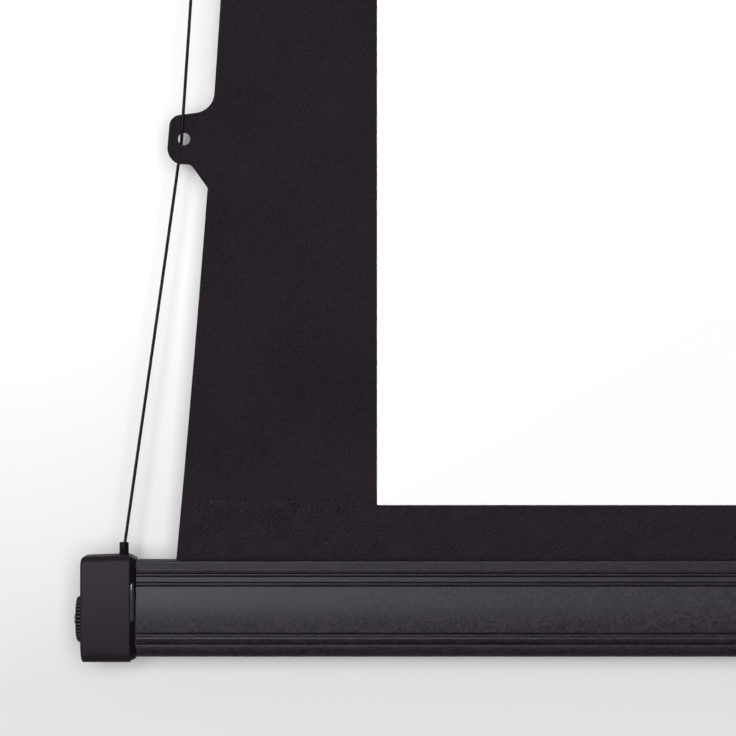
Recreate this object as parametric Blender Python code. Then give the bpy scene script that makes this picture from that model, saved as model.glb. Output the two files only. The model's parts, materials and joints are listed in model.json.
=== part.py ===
"""A motorised, tab-tensioned projection screen, fully lowered.

Metres, +Z up. The wall is the plane y = 0, the viewer stands at negative y, and z = 0 is the
roller's axis. X runs to the viewer's right, and x = 0 is the middle of the screen.
"""

from math import asin, atan2, ceil, cos, pi, radians, sin, sqrt, tan

import bmesh
import bpy
from mathutils import Vector

# Clearances
FIT = 0.0003
SHAFT_FIT = 0.0003

# Fabric and its picture area
VIEW_WIDTH = 1.771
VIEW_HEIGHT = 0.996
TOP_BORDER = 0.050
BOTTOM_BORDER = 0.0220
SHEET_THICKNESS = 0.0004
LAYER_THICKNESS = 0.0003
SIDE_BORDER = 0.0804
EDGE_INSET_AT_TAB = 0.01405
EDGE_SLOPE = 0.067
END_BOW = 0.00035

# Tabs, measured from the centre of each hole, outwards and up
TAB_COUNT = 4
TAB_FIRST = 0.1686
TAB_HOLE_OUT = 0.0109
TAB_HOLE_RADIUS = 0.00245
TAB_TIP_OUT = 0.0076
TAB_HALF_HEIGHT = 0.0100
TAB_SHOULDER = 0.0114
TAB_TOP_FALL = 0.0032
TAB_DIAGONAL = 0.0096
TAB_FILLET = 0.0083
TAB_TOP_ROUND = 0.0030
TAB_BOTTOM_ROUND = 0.0065
TAB_KNEE = 0.0020
TAB_LEAN = 0.0020

# Tension cord
CORD_RADIUS = 0.00065
CORD_DEPTH = 0.0167
CORD_IN_HOLE = 0.0010
CORD_BEND = 0.0045
WINDING_GAP = 0.00045
SPOOL_TURNS = 3
LOOP_POINTS = 24
ROLLER_LOOP_POINTS = 24
ROLLER_TURNS = 1.25
ROLLER_SPREAD = 0.0034
ANCHOR_SHANK = 0.0015
ANCHOR_HEAD = 0.0030
ANCHOR_HEAD_HEIGHT = 0.0014

# Case, an extrusion with a slot along its underside
CASE_PAST_ROLLER = 0.0450
CASE_BACK = -0.0050
CASE_DEPTH = 0.0840
CASE_TOP = 0.0380
CASE_BOTTOM = -0.0460
CASE_WALL = 0.0018
CASE_TOP_ROUND = 0.0260
CASE_FRONT_ROUND = 0.0140
CASE_BACK_ROUND = 0.0040
SLOT_BACK = -0.0130
SLOT_FRONT = -0.0360
LIP_HEIGHT = 0.0045
RAIL_FROM_FRONT = 0.0547
RAIL_WIDTH = 0.0031
RAIL_DEPTH = 0.0025
CHANNEL_OUTER = 0.0036
CHANNEL_INNER = 0.0019
CAP_PLATE = 0.0030
CAP_PROUD = 0.0005

# Roller and its drive
ROLLER_PAST_CORD = 0.0082
ROLLER_FROM_BACK = 0.0457
TUBE_RADIUS = 0.0250
TUBE_WALL = 0.0015
ROLL_THICKNESS = 0.0009
GROOVE_WIDTH = 0.0032
GROOVE_DEPTH = 0.0028
SPLINE_RADIUS = 0.0012
MOTOR_RADIUS = 0.0175
MOTOR_LENGTH = 0.4780
HEAD_RADIUS = 0.0210
HEAD_LENGTH = 0.0200
HEAD_GAP = 0.0040
BOSS_SIZE = 0.0120
BRACKET_PLATE = 0.0030
BRACKET_SIZE = 0.0480
DRIVE_LENGTH = 0.0180
DRIVE_SHAFT_RADIUS = 0.0040
DRIVE_SHAFT_LENGTH = 0.0400
RING_LENGTH = 0.0170
RIM_WIDTH = 0.0022
RIM_STEP = 0.0005
WHEEL_GAP = 0.0030
PLUG_DEPTH = 0.0300
BUSH_INSET = 0.0040
BUSH_PROUD = 0.0040
BOSS_HEIGHT = 0.0040
IDLER_PIN_RADIUS = 0.0040
BUSH_RADIUS = 0.0060
LIMIT_SCREW_RADIUS = 0.0025
LIMIT_SCREW_LENGTH = 0.0050
LIMIT_SCREW_APART = 0.0120
LIMIT_SCREW_SUNK = 0.0012
ACCESS_RADIUS = 0.0035
GLAND_HEIGHT = -0.0345
GLAND_BORE = 0.0036
GLAND_RADIUS = 0.0062
GLAND_LENGTH = 0.0090
GLAND_FLANGE = 0.0024
GLAND_NUT = 0.0016
GLAND_NUT_LENGTH = 0.0042

# Wall brackets
BRACKET_FROM_END = 0.3400
WALL_PLATE = 0.0025
WALL_PLATE_WIDTH = 0.0600
WALL_PLATE_TOP = 0.0640
WALL_SLOT_LENGTH = 0.0240
WALL_SLOT_WIDTH = 0.0066
LIP_REACH = 0.0015
FOLD_ROUND = 0.0010
LOCK_SCREW_RADIUS = 0.0016

# Bottom bar, a grooved extrusion
BAR_HEIGHT = 0.0384
BAR_DEPTH = 0.0180
BAR_PAST_FABRIC = 0.0156
BAR_EDGE = 0.0008
BAR_GROOVE = 0.0008
BAR_STEP = 0.0002
BAR_BOW = 0.00035
BAR_FOOT_IN = 0.0036
BAR_BACK_FOOT_IN = 0.0022
BAND_SLOPE = 0.0001
HEM_SLOT = 0.0024
HEM_CHANNEL_RADIUS = 0.0034
HEM_CHANNEL_DEPTH = 0.0062
HEM_ROD_RADIUS = 0.0016
STRIP_HEIGHT = 0.0244
STRIP_INSET = 0.0040
SHEET_TUCK = 0.0020
CHAMBER_TOP = 0.0140
CHAMBER_BOTTOM = 0.0356
CHAMBER_HALF = 0.0070
CHAMBER_ROUND = 0.0020
BAR_SCREW_Y = 0.0055
BAR_SCREW_DEPTH = 0.0118
BAR_SCREW_RADIUS = 0.0011
POCKET_INNER = 0.0014
POCKET_OUTER = 0.0018
POCKET_BELOW = 0.0026
POCKET_ABOVE = 0.0040
WEIGHT_ROD_RADIUS = 0.0060

# Bottom bar's ends
CAP_PAST_BAR = 0.0220
CAP_LENGTH = 0.0217
CAP_OVERHANG = 0.0020
CAP_ROUND = 0.0016
CAP_INNER_ROUND = 0.0032
CAP_CORNER = 0.0035
CAP_WALL = 0.0032
KNOB_RADIUS = 0.0093
KNOB_DROP = 0.02365
KNOB_PROUD = 0.0023
KNOB_POCKET = 0.0020
KNOB_DISH = 0.0006
KNOB_DISH_RADIUS = 0.0070
SPOOL_SHOULDER = 0.0040
KNOB_ROUND = 0.0013
KNOB_RIBS = 60
RIB_DEPTH = 0.00035
KNOB_WEB = 0.0020
HEX_RADIUS = 0.0029
RATCHET_RADIUS = 0.0075
RATCHET_ROOT = 0.0065
RATCHET_TEETH = 20
RATCHET_START = 0.0036
RATCHET_WIDTH = 0.0023
RATCHET_STEP = 0.0003
DRUM_RADIUS = 0.0034
DRUM_END = 0.0166
FLANGE_RADIUS = 0.0060
FLANGE_WIDTH = 0.0010
JOURNAL_RADIUS = 0.0025
CHASSIS_PLATE = 0.0020
CHASSIS_PLUG = 0.0140
PLUG_WALL = 0.0016
PAWL_THICKNESS = 0.0004
PAWL_SLACK = 0.00006
PAWL_SLOT = 0.0030
PAWL_BEAM_DROP = 0.0028
PAWL_BEAM_START = 0.0030
PAWL_ANGLE = -35
TOOTH_LEAD = 4
NIPPLE_RADIUS = 0.0019
NIPPLE_STEM = 0.00165
NIPPLE_FLANGE = 0.0021
NIPPLE_HEIGHT = 0.0048

# Screws
CASE_SCREW_LENGTH = 0.0140
CASE_SCREW_HEAD = 0.0033
LOCK_SCREW_HEAD = 0.0030
LOCK_SCREW_PAST = 0.0030
BAR_SCREW_LENGTH = 0.0120
BAR_SCREW_HEAD = 0.0019
KNOB_SCREW_RADIUS = 0.0011
KNOB_SCREW_LENGTH = 0.0060
KNOB_SCREW_HEAD = 0.0026
HEAD_HEIGHT = 0.0018
SMALL_HEAD_HEIGHT = 0.0012
SCREW_TIP = 0.0010

# Roundings, and how far a cutting shape runs past the face that it cuts
EDGE_ROUND = 0.0008
INNER_ROUND = 0.0006
FINE_ROUND = 0.0004
PLATE_ROUND = 0.0040
PAST = 0.0020

# Colours as linear red, green and blue, with roughness and metallic value
BLACK_COAT = ((0.030, 0.028, 0.031), 0.48, 0.0)
BLACK_PLASTIC = ((0.018, 0.017, 0.018), 0.42, 0.0)
BLACK_FABRIC = ((0.014, 0.012, 0.014), 0.85, 0.0)
WHITE_FABRIC = ((0.90, 0.90, 0.90), 0.80, 0.0)
CORD_BLACK = ((0.010, 0.010, 0.010), 0.75, 0.0)
BRIGHT_STEEL = ((0.60, 0.60, 0.62), 0.30, 1.0)
SPRING_STEEL = ((0.45, 0.45, 0.48), 0.28, 1.0)
RAW_ALUMINIUM = ((0.70, 0.71, 0.72), 0.38, 1.0)
GREY_PLASTIC = ((0.20, 0.20, 0.21), 0.50, 0.0)
BRONZE = ((0.42, 0.28, 0.12), 0.40, 1.0)

# Places that follow from the sizes, those along the part first
EDGE_CORNER = VIEW_WIDTH / 2 + SIDE_BORDER
BAR_HALF = EDGE_CORNER + BAR_PAST_FABRIC
CAP_OUTER = BAR_HALF + CAP_PAST_BAR
CORD_HALF_SPAN = CAP_OUTER - CORD_DEPTH
ROLLER_HALF = CORD_HALF_SPAN + ROLLER_PAST_CORD
CASE_HALF = ROLLER_HALF + CASE_PAST_ROLLER
BRACKET_X = CASE_HALF - BRACKET_FROM_END
ROLL_RADIUS = TUBE_RADIUS + FIT + ROLL_THICKNESS
ROLLER_Y = CASE_BACK - ROLLER_FROM_BACK
RAIL_FRONT = CASE_BACK - CASE_DEPTH + RAIL_FROM_FRONT
RAIL_BACK = RAIL_FRONT + RAIL_WIDTH
SHEET_Y = ROLLER_Y + ROLL_RADIUS + FIT + SHEET_THICKNESS / 2
VIEW_TOP = CASE_BOTTOM - TOP_BORDER
BAR_TOP = VIEW_TOP - VIEW_HEIGHT - BOTTOM_BORDER
DROP = CASE_BOTTOM - BAR_TOP
TAB_PITCH = (DROP - 2 * TAB_FIRST) / (TAB_COUNT - 1)
KNOB_Z = BAR_TOP - KNOB_DROP
TUBE_BORE = TUBE_RADIUS - TUBE_WALL
CORD_LAYER = SHEET_THICKNESS / 2 + FIT + CORD_RADIUS
TURN_RADIUS = DRUM_RADIUS + FIT + CORD_RADIUS
TURN_PITCH = 2 * CORD_RADIUS + WINDING_GAP
LEFT, RIGHT = -1, 1
SIDE_NAMES = {LEFT: "left", RIGHT: "right"}
HEAD_OUTER_X = -(CASE_HALF - 2 * FIT - BRACKET_PLATE)
LIMIT_SCREW_X = HEAD_OUTER_X + HEAD_LENGTH / 2
LIMIT_SCREW_FOOT = -HEAD_RADIUS + LIMIT_SCREW_SUNK
MOTOR_START = ROLLER_HALF + HEAD_GAP
LOCK_SCREW_Y = (CASE_BACK + SLOT_BACK) / 2
FLANGE_END = DRUM_END + FLANGE_WIDTH
PLATE_START = FLANGE_END + FIT
JOURNAL_END = PLATE_START + CHASSIS_PLATE + 0.5 * SCREW_TIP
PAWL_TIP = RATCHET_ROOT + FIT + PAWL_THICKNESS / 2 + PAWL_SLACK


for old in list(bpy.data.objects):
    bpy.data.objects.remove(old, do_unlink=True)

materials = {}


def paint(obj, look):
    """Gives the object a Principled material of this colour, roughness and metallic value."""
    if look not in materials:
        colour, roughness, metallic = look
        made = bpy.data.materials.new("finish_%d" % (len(materials) + 1))
        made.use_nodes = True
        shader = made.node_tree.nodes["Principled BSDF"]
        shader.inputs["Base Color"].default_value = (*colour, 1.0)
        shader.inputs["Roughness"].default_value = roughness
        shader.inputs["Metallic"].default_value = metallic
        materials[look] = made
    obj.data.materials.append(materials[look])


def place(name, bm, look, at=(0, 0, 0), smooth=True):
    """Makes a named object of a closed mesh, with its origin at the given point."""
    bmesh.ops.remove_doubles(bm, verts=bm.verts, dist=1e-7)
    bmesh.ops.recalc_face_normals(bm, faces=bm.faces)
    mesh = bpy.data.meshes.new(name)
    bm.to_mesh(mesh)
    bm.free()
    obj = bpy.data.objects.new(name, mesh)
    obj.location = at
    bpy.context.collection.objects.link(obj)
    if smooth:
        mesh.shade_smooth()
        mesh.set_sharp_from_angle(angle=radians(32))
    if look:
        paint(obj, look)
    return obj


def combine(target, tool_mesh, operation, name):
    """Joins to the target, or cuts from it, a mesh that shares the target's origin."""
    tool = place(name, tool_mesh, None, target.location)
    tool.hide_render = True
    tool.display_type = "WIRE"
    change = target.modifiers.new(name, "BOOLEAN")
    change.operation = operation
    change.solver = "EXACT"
    change.object = tool


def arc_steps(radius):
    """Straight runs that stand for a quarter of a circle."""
    return 2 if radius < 0.0010 else 3 if radius < 0.0050 else 4 if radius < 0.0080 else 9


def rounded(corners):
    """Points of a closed outline whose corners (a, b, radius) are rounded by arcs."""
    points = []
    count = len(corners)
    for i, (a, b, radius) in enumerate(corners):
        if radius <= 0:
            points.append((a, b))
            continue
        corner = Vector((a, b))
        back = Vector(corners[i - 1][:2]) - corner
        ahead = Vector(corners[(i + 1) % count][:2]) - corner
        half = back.angle(ahead) / 2
        reach = min(radius / tan(half), 0.49 * back.length, 0.49 * ahead.length)
        radius = reach * tan(half)
        back.normalize()
        ahead.normalize()
        centre = corner + (back + ahead).normalized() * (radius / sin(half))
        first = corner + back * reach - centre
        last = corner + ahead * reach - centre
        turn = first.angle_signed(last)
        steps = max(2, ceil(arc_steps(radius) * abs(turn) / (pi / 2) - 0.01))
        for k in range(steps + 1):
            angle = atan2(first.y, first.x) - turn * k / steps
            points.append((centre.x + radius * cos(angle), centre.y + radius * sin(angle)))
    return points


def circle(a, b, radius, count=24, start=0.0):
    """Points of a circle, counted anticlockwise."""
    return [
        (a + radius * cos(start + 2 * pi * k / count), b + radius * sin(start + 2 * pi * k / count))
        for k in range(count)
    ]


def box_outline(a0, a1, b0, b1, radius):
    """Corners of a rectangle, for rounded()."""
    return [(a0, b0, radius), (a1, b0, radius), (a1, b1, radius), (a0, b1, radius)]


def box_corners(a0, a1, b0, b1):
    """Points of a rectangle with sharp corners."""
    return [(a0, b0), (a1, b0), (a1, b1), (a0, b1)]


def extrude_outline(outline, holes, to_point, travel):
    """A prism on a flat outline with holes, whose points are placed by to_point."""
    bm = bmesh.new()
    edges = []
    for loop in [outline, *holes]:
        verts = [bm.verts.new(to_point(a, b)) for a, b in loop]
        edges += [bm.edges.new((verts[k - 1], verts[k])) for k in range(len(verts))]
    bmesh.ops.triangle_fill(bm, edges=edges, use_beauty=True, use_dissolve=False)
    moved = bmesh.ops.extrude_face_region(bm, geom=bm.faces[:])["geom"]
    ends = [v for v in moved if isinstance(v, bmesh.types.BMVert)]
    bmesh.ops.translate(bm, verts=ends, vec=travel)
    return bm


def prism_x(outline, holes, x0, x1):
    """A prism along X on an outline of (y, z) points."""
    return extrude_outline(outline, holes, lambda y, z: (x0, y, z), (x1 - x0, 0, 0))


def prism_y(outline, holes, y0, y1):
    """A prism along Y on an outline of (x, z) points."""
    return extrude_outline(outline, holes, lambda x, z: (x, y0, z), (0, y1 - y0, 0))


def prism_z(outline, holes, z0, z1):
    """A prism along Z on an outline of (x, y) points."""
    return extrude_outline(outline, holes, lambda x, y: (x, y, z0), (0, 0, z1 - z0))


def turned(profile, steps=24, bore=()):
    """A solid turned about X from (x, radius) points, with an optional bore of the same kind."""
    bm = bmesh.new()
    loop = [*profile, *reversed(bore)] if bore else [(profile[0][0], 0), *profile, (profile[-1][0], 0)]
    verts = [bm.verts.new((x, radius, 0)) for x, radius in loop]
    edges = [bm.edges.new(pair) for pair in zip(verts, verts[1:])]
    if bore:
        edges.append(bm.edges.new((verts[-1], verts[0])))
    bmesh.ops.spin(
        bm, geom=verts + edges, cent=(0, 0, 0), axis=(1, 0, 0), angle=2 * pi, steps=steps,
        use_merge=True, use_duplicate=False,
    )
    bmesh.ops.remove_doubles(bm, verts=bm.verts, dist=1e-7)
    return bm


def lofted(rings):
    """A solid through rings of 3D points of equal count, closed by flat ends."""
    bm = bmesh.new()
    loops = [[bm.verts.new(point) for point in ring] for ring in rings]
    count = len(loops[0])
    for low, high in zip(loops, loops[1:]):
        for k in range(count):
            bm.faces.new((low[k - 1], low[k], high[k], high[k - 1]))
    bm.faces.new(loops[0])
    bm.faces.new(loops[-1])
    return bm


def mirrored(bm, side):
    """The same mesh for the given side: a part drawn with X inwards becomes a left or right one."""
    for vert in bm.verts:
        vert.co.x *= -side
    return bm


# Case


def case_outline():
    """Outer and inner line of the case in one loop, open at the slot along the underside."""
    back, front = CASE_BACK, CASE_BACK - CASE_DEPTH
    top, low, wall = CASE_TOP, CASE_BOTTOM, CASE_WALL
    inner_low = low + wall
    corners = [
        (SLOT_BACK, low, EDGE_ROUND),
        (back, low, CASE_BACK_ROUND),
        (back, top, CASE_BACK_ROUND),
        (RAIL_BACK, top, FINE_ROUND),
        (RAIL_BACK, top - RAIL_DEPTH, 0),
        (RAIL_FRONT, top - RAIL_DEPTH, 0),
        (RAIL_FRONT, top, FINE_ROUND),
        (front, top, CASE_TOP_ROUND),
        (front, low, CASE_FRONT_ROUND),
        (SLOT_FRONT, low, EDGE_ROUND),
        (SLOT_FRONT, inner_low + LIP_HEIGHT, INNER_ROUND),
        (SLOT_FRONT - wall, inner_low + LIP_HEIGHT, INNER_ROUND),
        (SLOT_FRONT - wall, inner_low, 0),
        (front + wall, inner_low, CASE_FRONT_ROUND - wall),
        (front + wall, top - wall, CASE_TOP_ROUND - wall),
        (RAIL_FRONT - wall, top - wall, 0),
        (RAIL_FRONT - wall, top - wall - RAIL_DEPTH, INNER_ROUND),
        (RAIL_BACK + wall, top - wall - RAIL_DEPTH, INNER_ROUND),
        (RAIL_BACK + wall, top - wall, 0),
        (back - wall, top - wall, CASE_BACK_ROUND - wall),
        (back - wall, inner_low, CASE_BACK_ROUND - wall),
        (SLOT_BACK + wall, inner_low, 0),
        (SLOT_BACK + wall, inner_low + LIP_HEIGHT, INNER_ROUND),
        (SLOT_BACK, inner_low + LIP_HEIGHT, INNER_ROUND),
    ]
    return rounded(corners)


def channel_places():
    """Centres of the three screw channels that run along the inside of the case."""
    reach = CASE_WALL + CHANNEL_OUTER - EDGE_ROUND
    front = CASE_BACK - CASE_DEPTH
    lean = (CASE_TOP_ROUND - reach) * (1 - sqrt(0.5))
    low_lean = (CASE_FRONT_ROUND - reach) * (1 - sqrt(0.5))
    return [
        (front + reach + lean, CASE_TOP - reach - lean),
        (front + reach + low_lean, CASE_BOTTOM + reach + low_lean),
        (CASE_BACK - reach, CASE_TOP - reach),
    ]


def limit_screw_places():
    """Y of the two limit screws in the motor's head, for raising and for lowering."""
    return [ROLLER_Y + LIMIT_SCREW_APART / 2, ROLLER_Y - LIMIT_SCREW_APART / 2]


def make_case_shell():
    shell = place("case_shell", prism_x(case_outline(), [], -CASE_HALF, CASE_HALF), BLACK_COAT)
    for number, (y, z) in enumerate(channel_places()):
        solid = prism_x(circle(y, z, CHANNEL_OUTER, 16), [], -CASE_HALF, CASE_HALF)
        combine(shell, solid, "UNION", "screw_channel_%d" % number)
    for number, (y, z) in enumerate(channel_places()):
        bore = prism_x(circle(y, z, CHANNEL_INNER, 12), [], -CASE_HALF - PAST, CASE_HALF + PAST)
        combine(shell, bore, "DIFFERENCE", "screw_bore_%d" % number)
    for number, y in enumerate(limit_screw_places()):
        hole = prism_z(circle(LIMIT_SCREW_X, y, ACCESS_RADIUS, 16), [],
                       CASE_BOTTOM - PAST, CASE_BOTTOM + CASE_WALL + PAST)
        combine(shell, hole, "DIFFERENCE", "access_hole_%d" % number)
    for side in SIDE_NAMES:
        hole = prism_z(circle(side * BRACKET_X, LOCK_SCREW_Y, LOCK_SCREW_RADIUS + FIT, 12), [],
                       CASE_BOTTOM - PAST, CASE_BOTTOM + CASE_WALL + PAST)
        combine(shell, hole, "DIFFERENCE", "lock_hole_" + SIDE_NAMES[side])


def make_case_end_cap(side):
    """A plate of the case's own outline, a little proud of it, with rounded outer edges."""
    back, front = CASE_BACK + CAP_PROUD, CASE_BACK - CASE_DEPTH - CAP_PROUD
    top, low = CASE_TOP + CAP_PROUD / 2, CASE_BOTTOM - CAP_PROUD
    rings = []
    for depth, inset in [(0, 0), (0.6, 0), (0.85, 0.12), (1, 0.5)]:
        shrink = inset * CAP_PLATE * 0.5
        corners = [
            (back - shrink, low + shrink, CASE_BACK_ROUND),
            (back - shrink, top - shrink, CASE_BACK_ROUND),
            (front + shrink, top - shrink, CASE_TOP_ROUND),
            (front + shrink, low + shrink, CASE_FRONT_ROUND),
        ]
        x = side * (CASE_HALF + FIT + CAP_PLATE * depth)
        rings.append([(x, y, z) for y, z in rounded(corners)])
    cap = place("case_end_cap_" + SIDE_NAMES[side], lofted(rings), BLACK_PLASTIC)
    for number, (y, z) in enumerate(channel_places()):
        hole = prism_x(circle(y, z, CHANNEL_INNER, 12), [],
                       side * (CASE_HALF - PAST), side * (CASE_HALF + CAP_PLATE + PAST))
        combine(cap, hole, "DIFFERENCE", "cap_hole_%s_%d" % (SIDE_NAMES[side], number))
    if side == LEFT:
        hole = prism_x(circle(ROLLER_Y, GLAND_HEIGHT, GLAND_RADIUS + FIT), [],
                       side * (CASE_HALF - PAST), side * (CASE_HALF + CAP_PLATE + PAST))
        combine(cap, hole, "DIFFERENCE", "gland_hole")


def make_screw(name, at, direction, radius, length, head_radius, head_height, look=BRIGHT_STEEL):
    """A pan-head screw whose head rests at the given point and whose shank runs along X."""
    profile = [
        (-head_height, head_radius * 0.6), (-head_height * 0.5, head_radius * 0.94),
        (0, head_radius), (0, radius), (length - radius, radius), (length, radius * 0.4),
    ]
    bm = turned(profile, 10)
    for vert in bm.verts:
        vert.co = Vector((direction * vert.co.x, vert.co.y, vert.co.z))
    return place(name, bm, look, at)


def make_case_screws(side):
    for word, (y, z) in zip(["front_upper", "front_lower", "rear"], channel_places()):
        head_x = side * (CASE_HALF + 2 * FIT + CAP_PLATE)
        name = "case_screw_%s_%s" % (word, SIDE_NAMES[side])
        make_screw(name, (head_x, y, z), -side, CHANNEL_INNER - FIT, CASE_SCREW_LENGTH,
                   CASE_SCREW_HEAD, HEAD_HEIGHT)


# Wall brackets

def make_wall_bracket(side):
    """A folded steel strip: wall plate, arm over the case with a hook in its rail, lower lip."""
    x0, x1 = side * BRACKET_X - WALL_PLATE_WIDTH / 2, side * BRACKET_X + WALL_PLATE_WIDTH / 2
    arm_low = CASE_TOP + FIT
    arm_top = arm_low + WALL_PLATE
    hook_front, hook_back = RAIL_FRONT + FIT, RAIL_BACK - FIT
    lip_top = CASE_BOTTOM - FIT
    lip_low = lip_top - WALL_PLATE
    corners = [
        (0, lip_low, LIP_REACH),
        (0, WALL_PLATE_TOP, 0),
        (-WALL_PLATE, WALL_PLATE_TOP, 0),
        (-WALL_PLATE, arm_top, FOLD_ROUND),
        (hook_front, arm_top, FOLD_ROUND),
        (hook_front, CASE_TOP - RAIL_DEPTH + FIT, FINE_ROUND),
        (hook_back, CASE_TOP - RAIL_DEPTH + FIT, FINE_ROUND),
        (hook_back, arm_low, 0),
        (-WALL_PLATE, arm_low, 0),
        (-WALL_PLATE, lip_top, 0),
        (SLOT_BACK + LIP_REACH, lip_top, INNER_ROUND),
        (SLOT_BACK + LIP_REACH, lip_low, INNER_ROUND),
    ]
    name = "wall_bracket_" + SIDE_NAMES[side]
    bracket = place(name, prism_x(rounded(corners), [], x0, x1), BLACK_COAT)
    middle = side * BRACKET_X
    half, end = WALL_SLOT_LENGTH / 2, WALL_SLOT_WIDTH / 2
    slot_z = (WALL_PLATE_TOP + arm_top) / 2
    slot = rounded(box_outline(middle - half, middle + half, slot_z - end, slot_z + end, end * 0.98))
    cut = prism_y(slot, [], -WALL_PLATE - PAST, PAST)
    combine(bracket, cut, "DIFFERENCE", "wall_slot_" + SIDE_NAMES[side])
    arm_y = (hook_back - WALL_PLATE) / 2
    slot = rounded(box_outline(middle - half, middle + half, arm_y - end, arm_y + end, end * 0.98))
    cut = prism_z(slot, [], arm_low - PAST, arm_top + PAST)
    combine(bracket, cut, "DIFFERENCE", "ceiling_slot_" + SIDE_NAMES[side])
    hole = prism_z(circle(middle, LOCK_SCREW_Y, LOCK_SCREW_RADIUS + FIT, 12), [],
                   lip_low - PAST, lip_top + PAST)
    combine(bracket, hole, "DIFFERENCE", "lock_screw_hole_" + SIDE_NAMES[side])
    screw = make_screw("bracket_screw_" + SIDE_NAMES[side], (middle, LOCK_SCREW_Y, lip_low - FIT), 1,
                       LOCK_SCREW_RADIUS, WALL_PLATE + CASE_WALL + LOCK_SCREW_PAST, LOCK_SCREW_HEAD,
                       HEAD_HEIGHT)
    screw.rotation_euler = (0, -pi / 2, 0)


# Motor and idler ends of the roller


def make_motor_bracket():
    half, hole = BRACKET_SIZE / 2, BOSS_SIZE / 2 + FIT
    outline = rounded(box_outline(-half, half, -half, half, PLATE_ROUND))
    window = box_corners(-hole, hole, -hole, hole)
    x0 = -CASE_HALF
    bm = prism_x(outline, [window], x0, x0 + BRACKET_PLATE)
    place("motor_bracket", bm, BRIGHT_STEEL, (0, ROLLER_Y, 0))


def make_motor_head():
    """A stepped round head with a square boss in its bracket and two blind screw holes below."""
    step = HEAD_LENGTH
    x0 = HEAD_OUTER_X
    profile = [
        (x0, HEAD_RADIUS - FOLD_ROUND), (x0 + FOLD_ROUND, HEAD_RADIUS), (x0 + step, HEAD_RADIUS),
        (x0 + step + HEAD_GAP, MOTOR_RADIUS), (-MOTOR_START, MOTOR_RADIUS),
    ]
    head = place("motor_head", turned(profile, 24), BLACK_PLASTIC, (0, ROLLER_Y, 0))
    half = BOSS_SIZE / 2
    boss = box_corners(-half, half, -half, half)
    combine(head, prism_x(boss, [], x0 - BRACKET_PLATE + FIT, x0 + PAST), "UNION", "square_boss")
    for number, y in enumerate(limit_screw_places()):
        pit = prism_z(circle(LIMIT_SCREW_X, y - ROLLER_Y, LIMIT_SCREW_RADIUS + FIT, 16), [],
                      -HEAD_RADIUS - PAST, LIMIT_SCREW_FOOT + LIMIT_SCREW_LENGTH + FIT)
        combine(head, pit, "DIFFERENCE", "limit_screw_pit_%d" % number)


def make_limit_screw(name, y):
    """A small turned adjuster with a hexagon socket in its lower end."""
    low, high = 0, LIMIT_SCREW_LENGTH
    bm = prism_z(circle(0, 0, LIMIT_SCREW_RADIUS, 16), [], low, high)
    screw = place(name, bm, BRIGHT_STEEL, (LIMIT_SCREW_X, y, LIMIT_SCREW_FOOT))
    socket = prism_z(circle(0, 0, LIMIT_SCREW_RADIUS * 0.6, 6), [], low - PAST, high * 0.6)
    combine(screw, socket, "DIFFERENCE", name + "_socket")


def make_motor_tube():
    """The motor's steel tube, with the gearbox's mouth in its far end."""
    x0 = -MOTOR_START + FIT
    x1 = x0 + MOTOR_LENGTH
    mouth = DRIVE_SHAFT_RADIUS + SHAFT_FIT
    depth = DRIVE_SHAFT_LENGTH / 2
    profile = [(x0, MOTOR_RADIUS), (x1 - FOLD_ROUND, MOTOR_RADIUS), (x1, MOTOR_RADIUS - FOLD_ROUND),
               (x1, mouth), (x1 - depth, mouth)]
    place("motor_tube", turned(profile, 24), BRIGHT_STEEL, (0, ROLLER_Y, 0))


def groove_outline(radius, clearance):
    """A circle with the notch that clears, or cuts, the groove at the front of the tube."""
    half = GROOVE_WIDTH / 2 + clearance
    depth = GROOVE_DEPTH + clearance
    gap = asin(half / radius)
    count = 30
    points = []
    for k in range(count + 1):
        angle = pi + gap + (2 * pi - 2 * gap) * k / count
        points.append((radius * cos(angle), radius * sin(angle)))
    floor = -(TUBE_RADIUS - depth)
    return [*points, (floor, half), (floor, -half)]


def make_roller_tube():
    """A thin aluminium tube with a groove along its front for the fabric's spline."""
    outer = groove_outline(TUBE_RADIUS, 0)
    inner = groove_outline(TUBE_BORE, TUBE_WALL)
    bm = prism_x(outer, [inner], -ROLLER_HALF, ROLLER_HALF)
    tube = place("roller_tube", bm, RAW_ALUMINIUM, (0, ROLLER_Y, 0))
    for side in SIDE_NAMES:
        hole = prism_z(circle(side * cord_end_x(), 0, ANCHOR_SHANK + FIT, 12), [],
                       TUBE_RADIUS / 2, TUBE_RADIUS + PAST)
        combine(tube, hole, "DIFFERENCE", "anchor_hole_" + SIDE_NAMES[side])


def fitted_wheel(name, spans, bore, look):
    """A wheel in the tube, notched for the groove, with a flange and a bore."""
    parts = []
    for x0, x1, radius, notched in spans:
        if notched:
            outline = groove_outline(radius, TUBE_WALL + 2 * FIT)
        else:
            outline = circle(0, 0, radius, 32)
        parts.append(prism_x(outline, [circle(0, 0, bore, 24)], x0, x1))
    wheel = place(name, parts[0], look, (0, ROLLER_Y, 0))
    for number, extra in enumerate(parts[1:]):
        combine(wheel, extra, "UNION", "%s_step_%d" % (name, number))


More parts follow.
